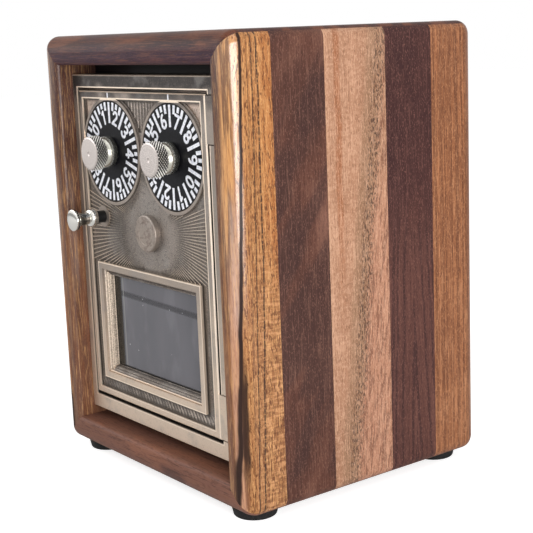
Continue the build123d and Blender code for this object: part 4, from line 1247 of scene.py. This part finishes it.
# Pale floor that is plain white to the camera, and keeps the shadow
white = srgb(255, 255, 255)
floorLook = {"half": 3.0, "colour": (0.80, 0.80, 0.80, 1.0), "roughness": 0.9, "specular": 0.0, "lift": 0.7}
shape = bmesh.new()
bmesh.ops.create_grid(shape, x_segments=1, y_segments=1, size=floorLook["half"])
floorMesh = bpy.data.meshes.new("floor")
shape.to_mesh(floorMesh)
shape.free()
floor = bpy.data.objects.new("floor", floorMesh)
bpy.context.scene.collection.objects.link(floor)
floorPaint = bpy.data.materials.new("floorPaint")
floorPaint.use_nodes = True
tree = floorPaint.node_tree
paint = tree.nodes["Principled BSDF"]
paint.inputs["Base Color"].default_value = floorLook["colour"]
paint.inputs["Roughness"].default_value = floorLook["roughness"]
paint.inputs["Specular IOR Level"].default_value = floorLook["specular"]
paint.inputs["Emission Strength"].default_value = floorLook["lift"]
toCamera = Wire(tree, tree.nodes.new("ShaderNodeLightPath").outputs["Is Camera Ray"])
glow = mixed(toCamera, (0, 0, 0), (255, 255, 255))
tree.links.new(glow.socket, paint.inputs["Emission Color"])
floorMesh.materials.append(floorPaint)

# The world lights the object softly, and is plain white to the camera, in metal and through glass
studio = {"soft": 0.40, "bright": 1.0, "whiteTo": ("Is Glossy Ray", "Is Transmission Ray")}
world = bpy.data.worlds.new("studio")
bpy.context.scene.world = world
world.use_nodes = True
tree = world.node_tree
backgrounds = [tree.nodes["Background"], tree.nodes.new("ShaderNodeBackground")]
for background, strength in zip(backgrounds, (studio["soft"], studio["bright"])):
    background.inputs["Color"].default_value = white
    background.inputs["Strength"].default_value = strength
path = tree.nodes.new("ShaderNodeLightPath")
seen = Wire(tree, path.outputs["Is Camera Ray"])
for ray in studio["whiteTo"]:
    seen = larger(seen, Wire(tree, path.outputs[ray]))
soft, bright = (Wire(tree, background.outputs[0]) for background in backgrounds)
light = seen.add("ShaderNodeMixShader", {}, {0: seen, 1: soft, 2: bright})
tree.links.new(light.socket, tree.nodes["World Output"].inputs["Surface"])

# Soft lamps: azimuth 0 is in front of the door, 90 is off the right side
lamps = [
    {"name": "key", "azimuth": 68.0, "up": 5.0, "away": 0.55, "size": (0.46, 0.25), "power": 2.7},
    {"name": "side", "azimuth": 88.0, "up": 50.0, "away": 1.1, "size": (0.7, 0.7), "power": 1.3},
    {"name": "left", "azimuth": -48.0, "up": 25.0, "away": 1.1, "size": (0.7, 0.7), "power": 4.2},
    {"name": "top", "azimuth": 60.0, "up": 80.0, "away": 1.0, "size": (0.8, 0.8), "power": 1.4},
]
aim = (cadBox[0] + cadBox[1]) / 2
for lamp in lamps:
    data = bpy.data.lights.new(lamp["name"], "AREA")
    data.shape = "RECTANGLE"
    data.size, data.size_y = lamp["size"]
    data.energy = lamp["power"]
    lampObject = bpy.data.objects.new(lamp["name"], data)
    azimuth, up = math.radians(lamp["azimuth"]), math.radians(lamp["up"])
    outward = Vector((math.sin(azimuth) * math.cos(up), -math.cos(azimuth) * math.cos(up), math.sin(up)))
    lampObject.location = aim + outward * lamp["away"]
    lampObject.rotation_euler = outward.to_track_quat("Z", "Y").to_euler()
    bpy.context.scene.collection.objects.link(lampObject)
bpy.context.scene.view_settings.view_transform = "Standard"
print("camera, floor and lamps set")
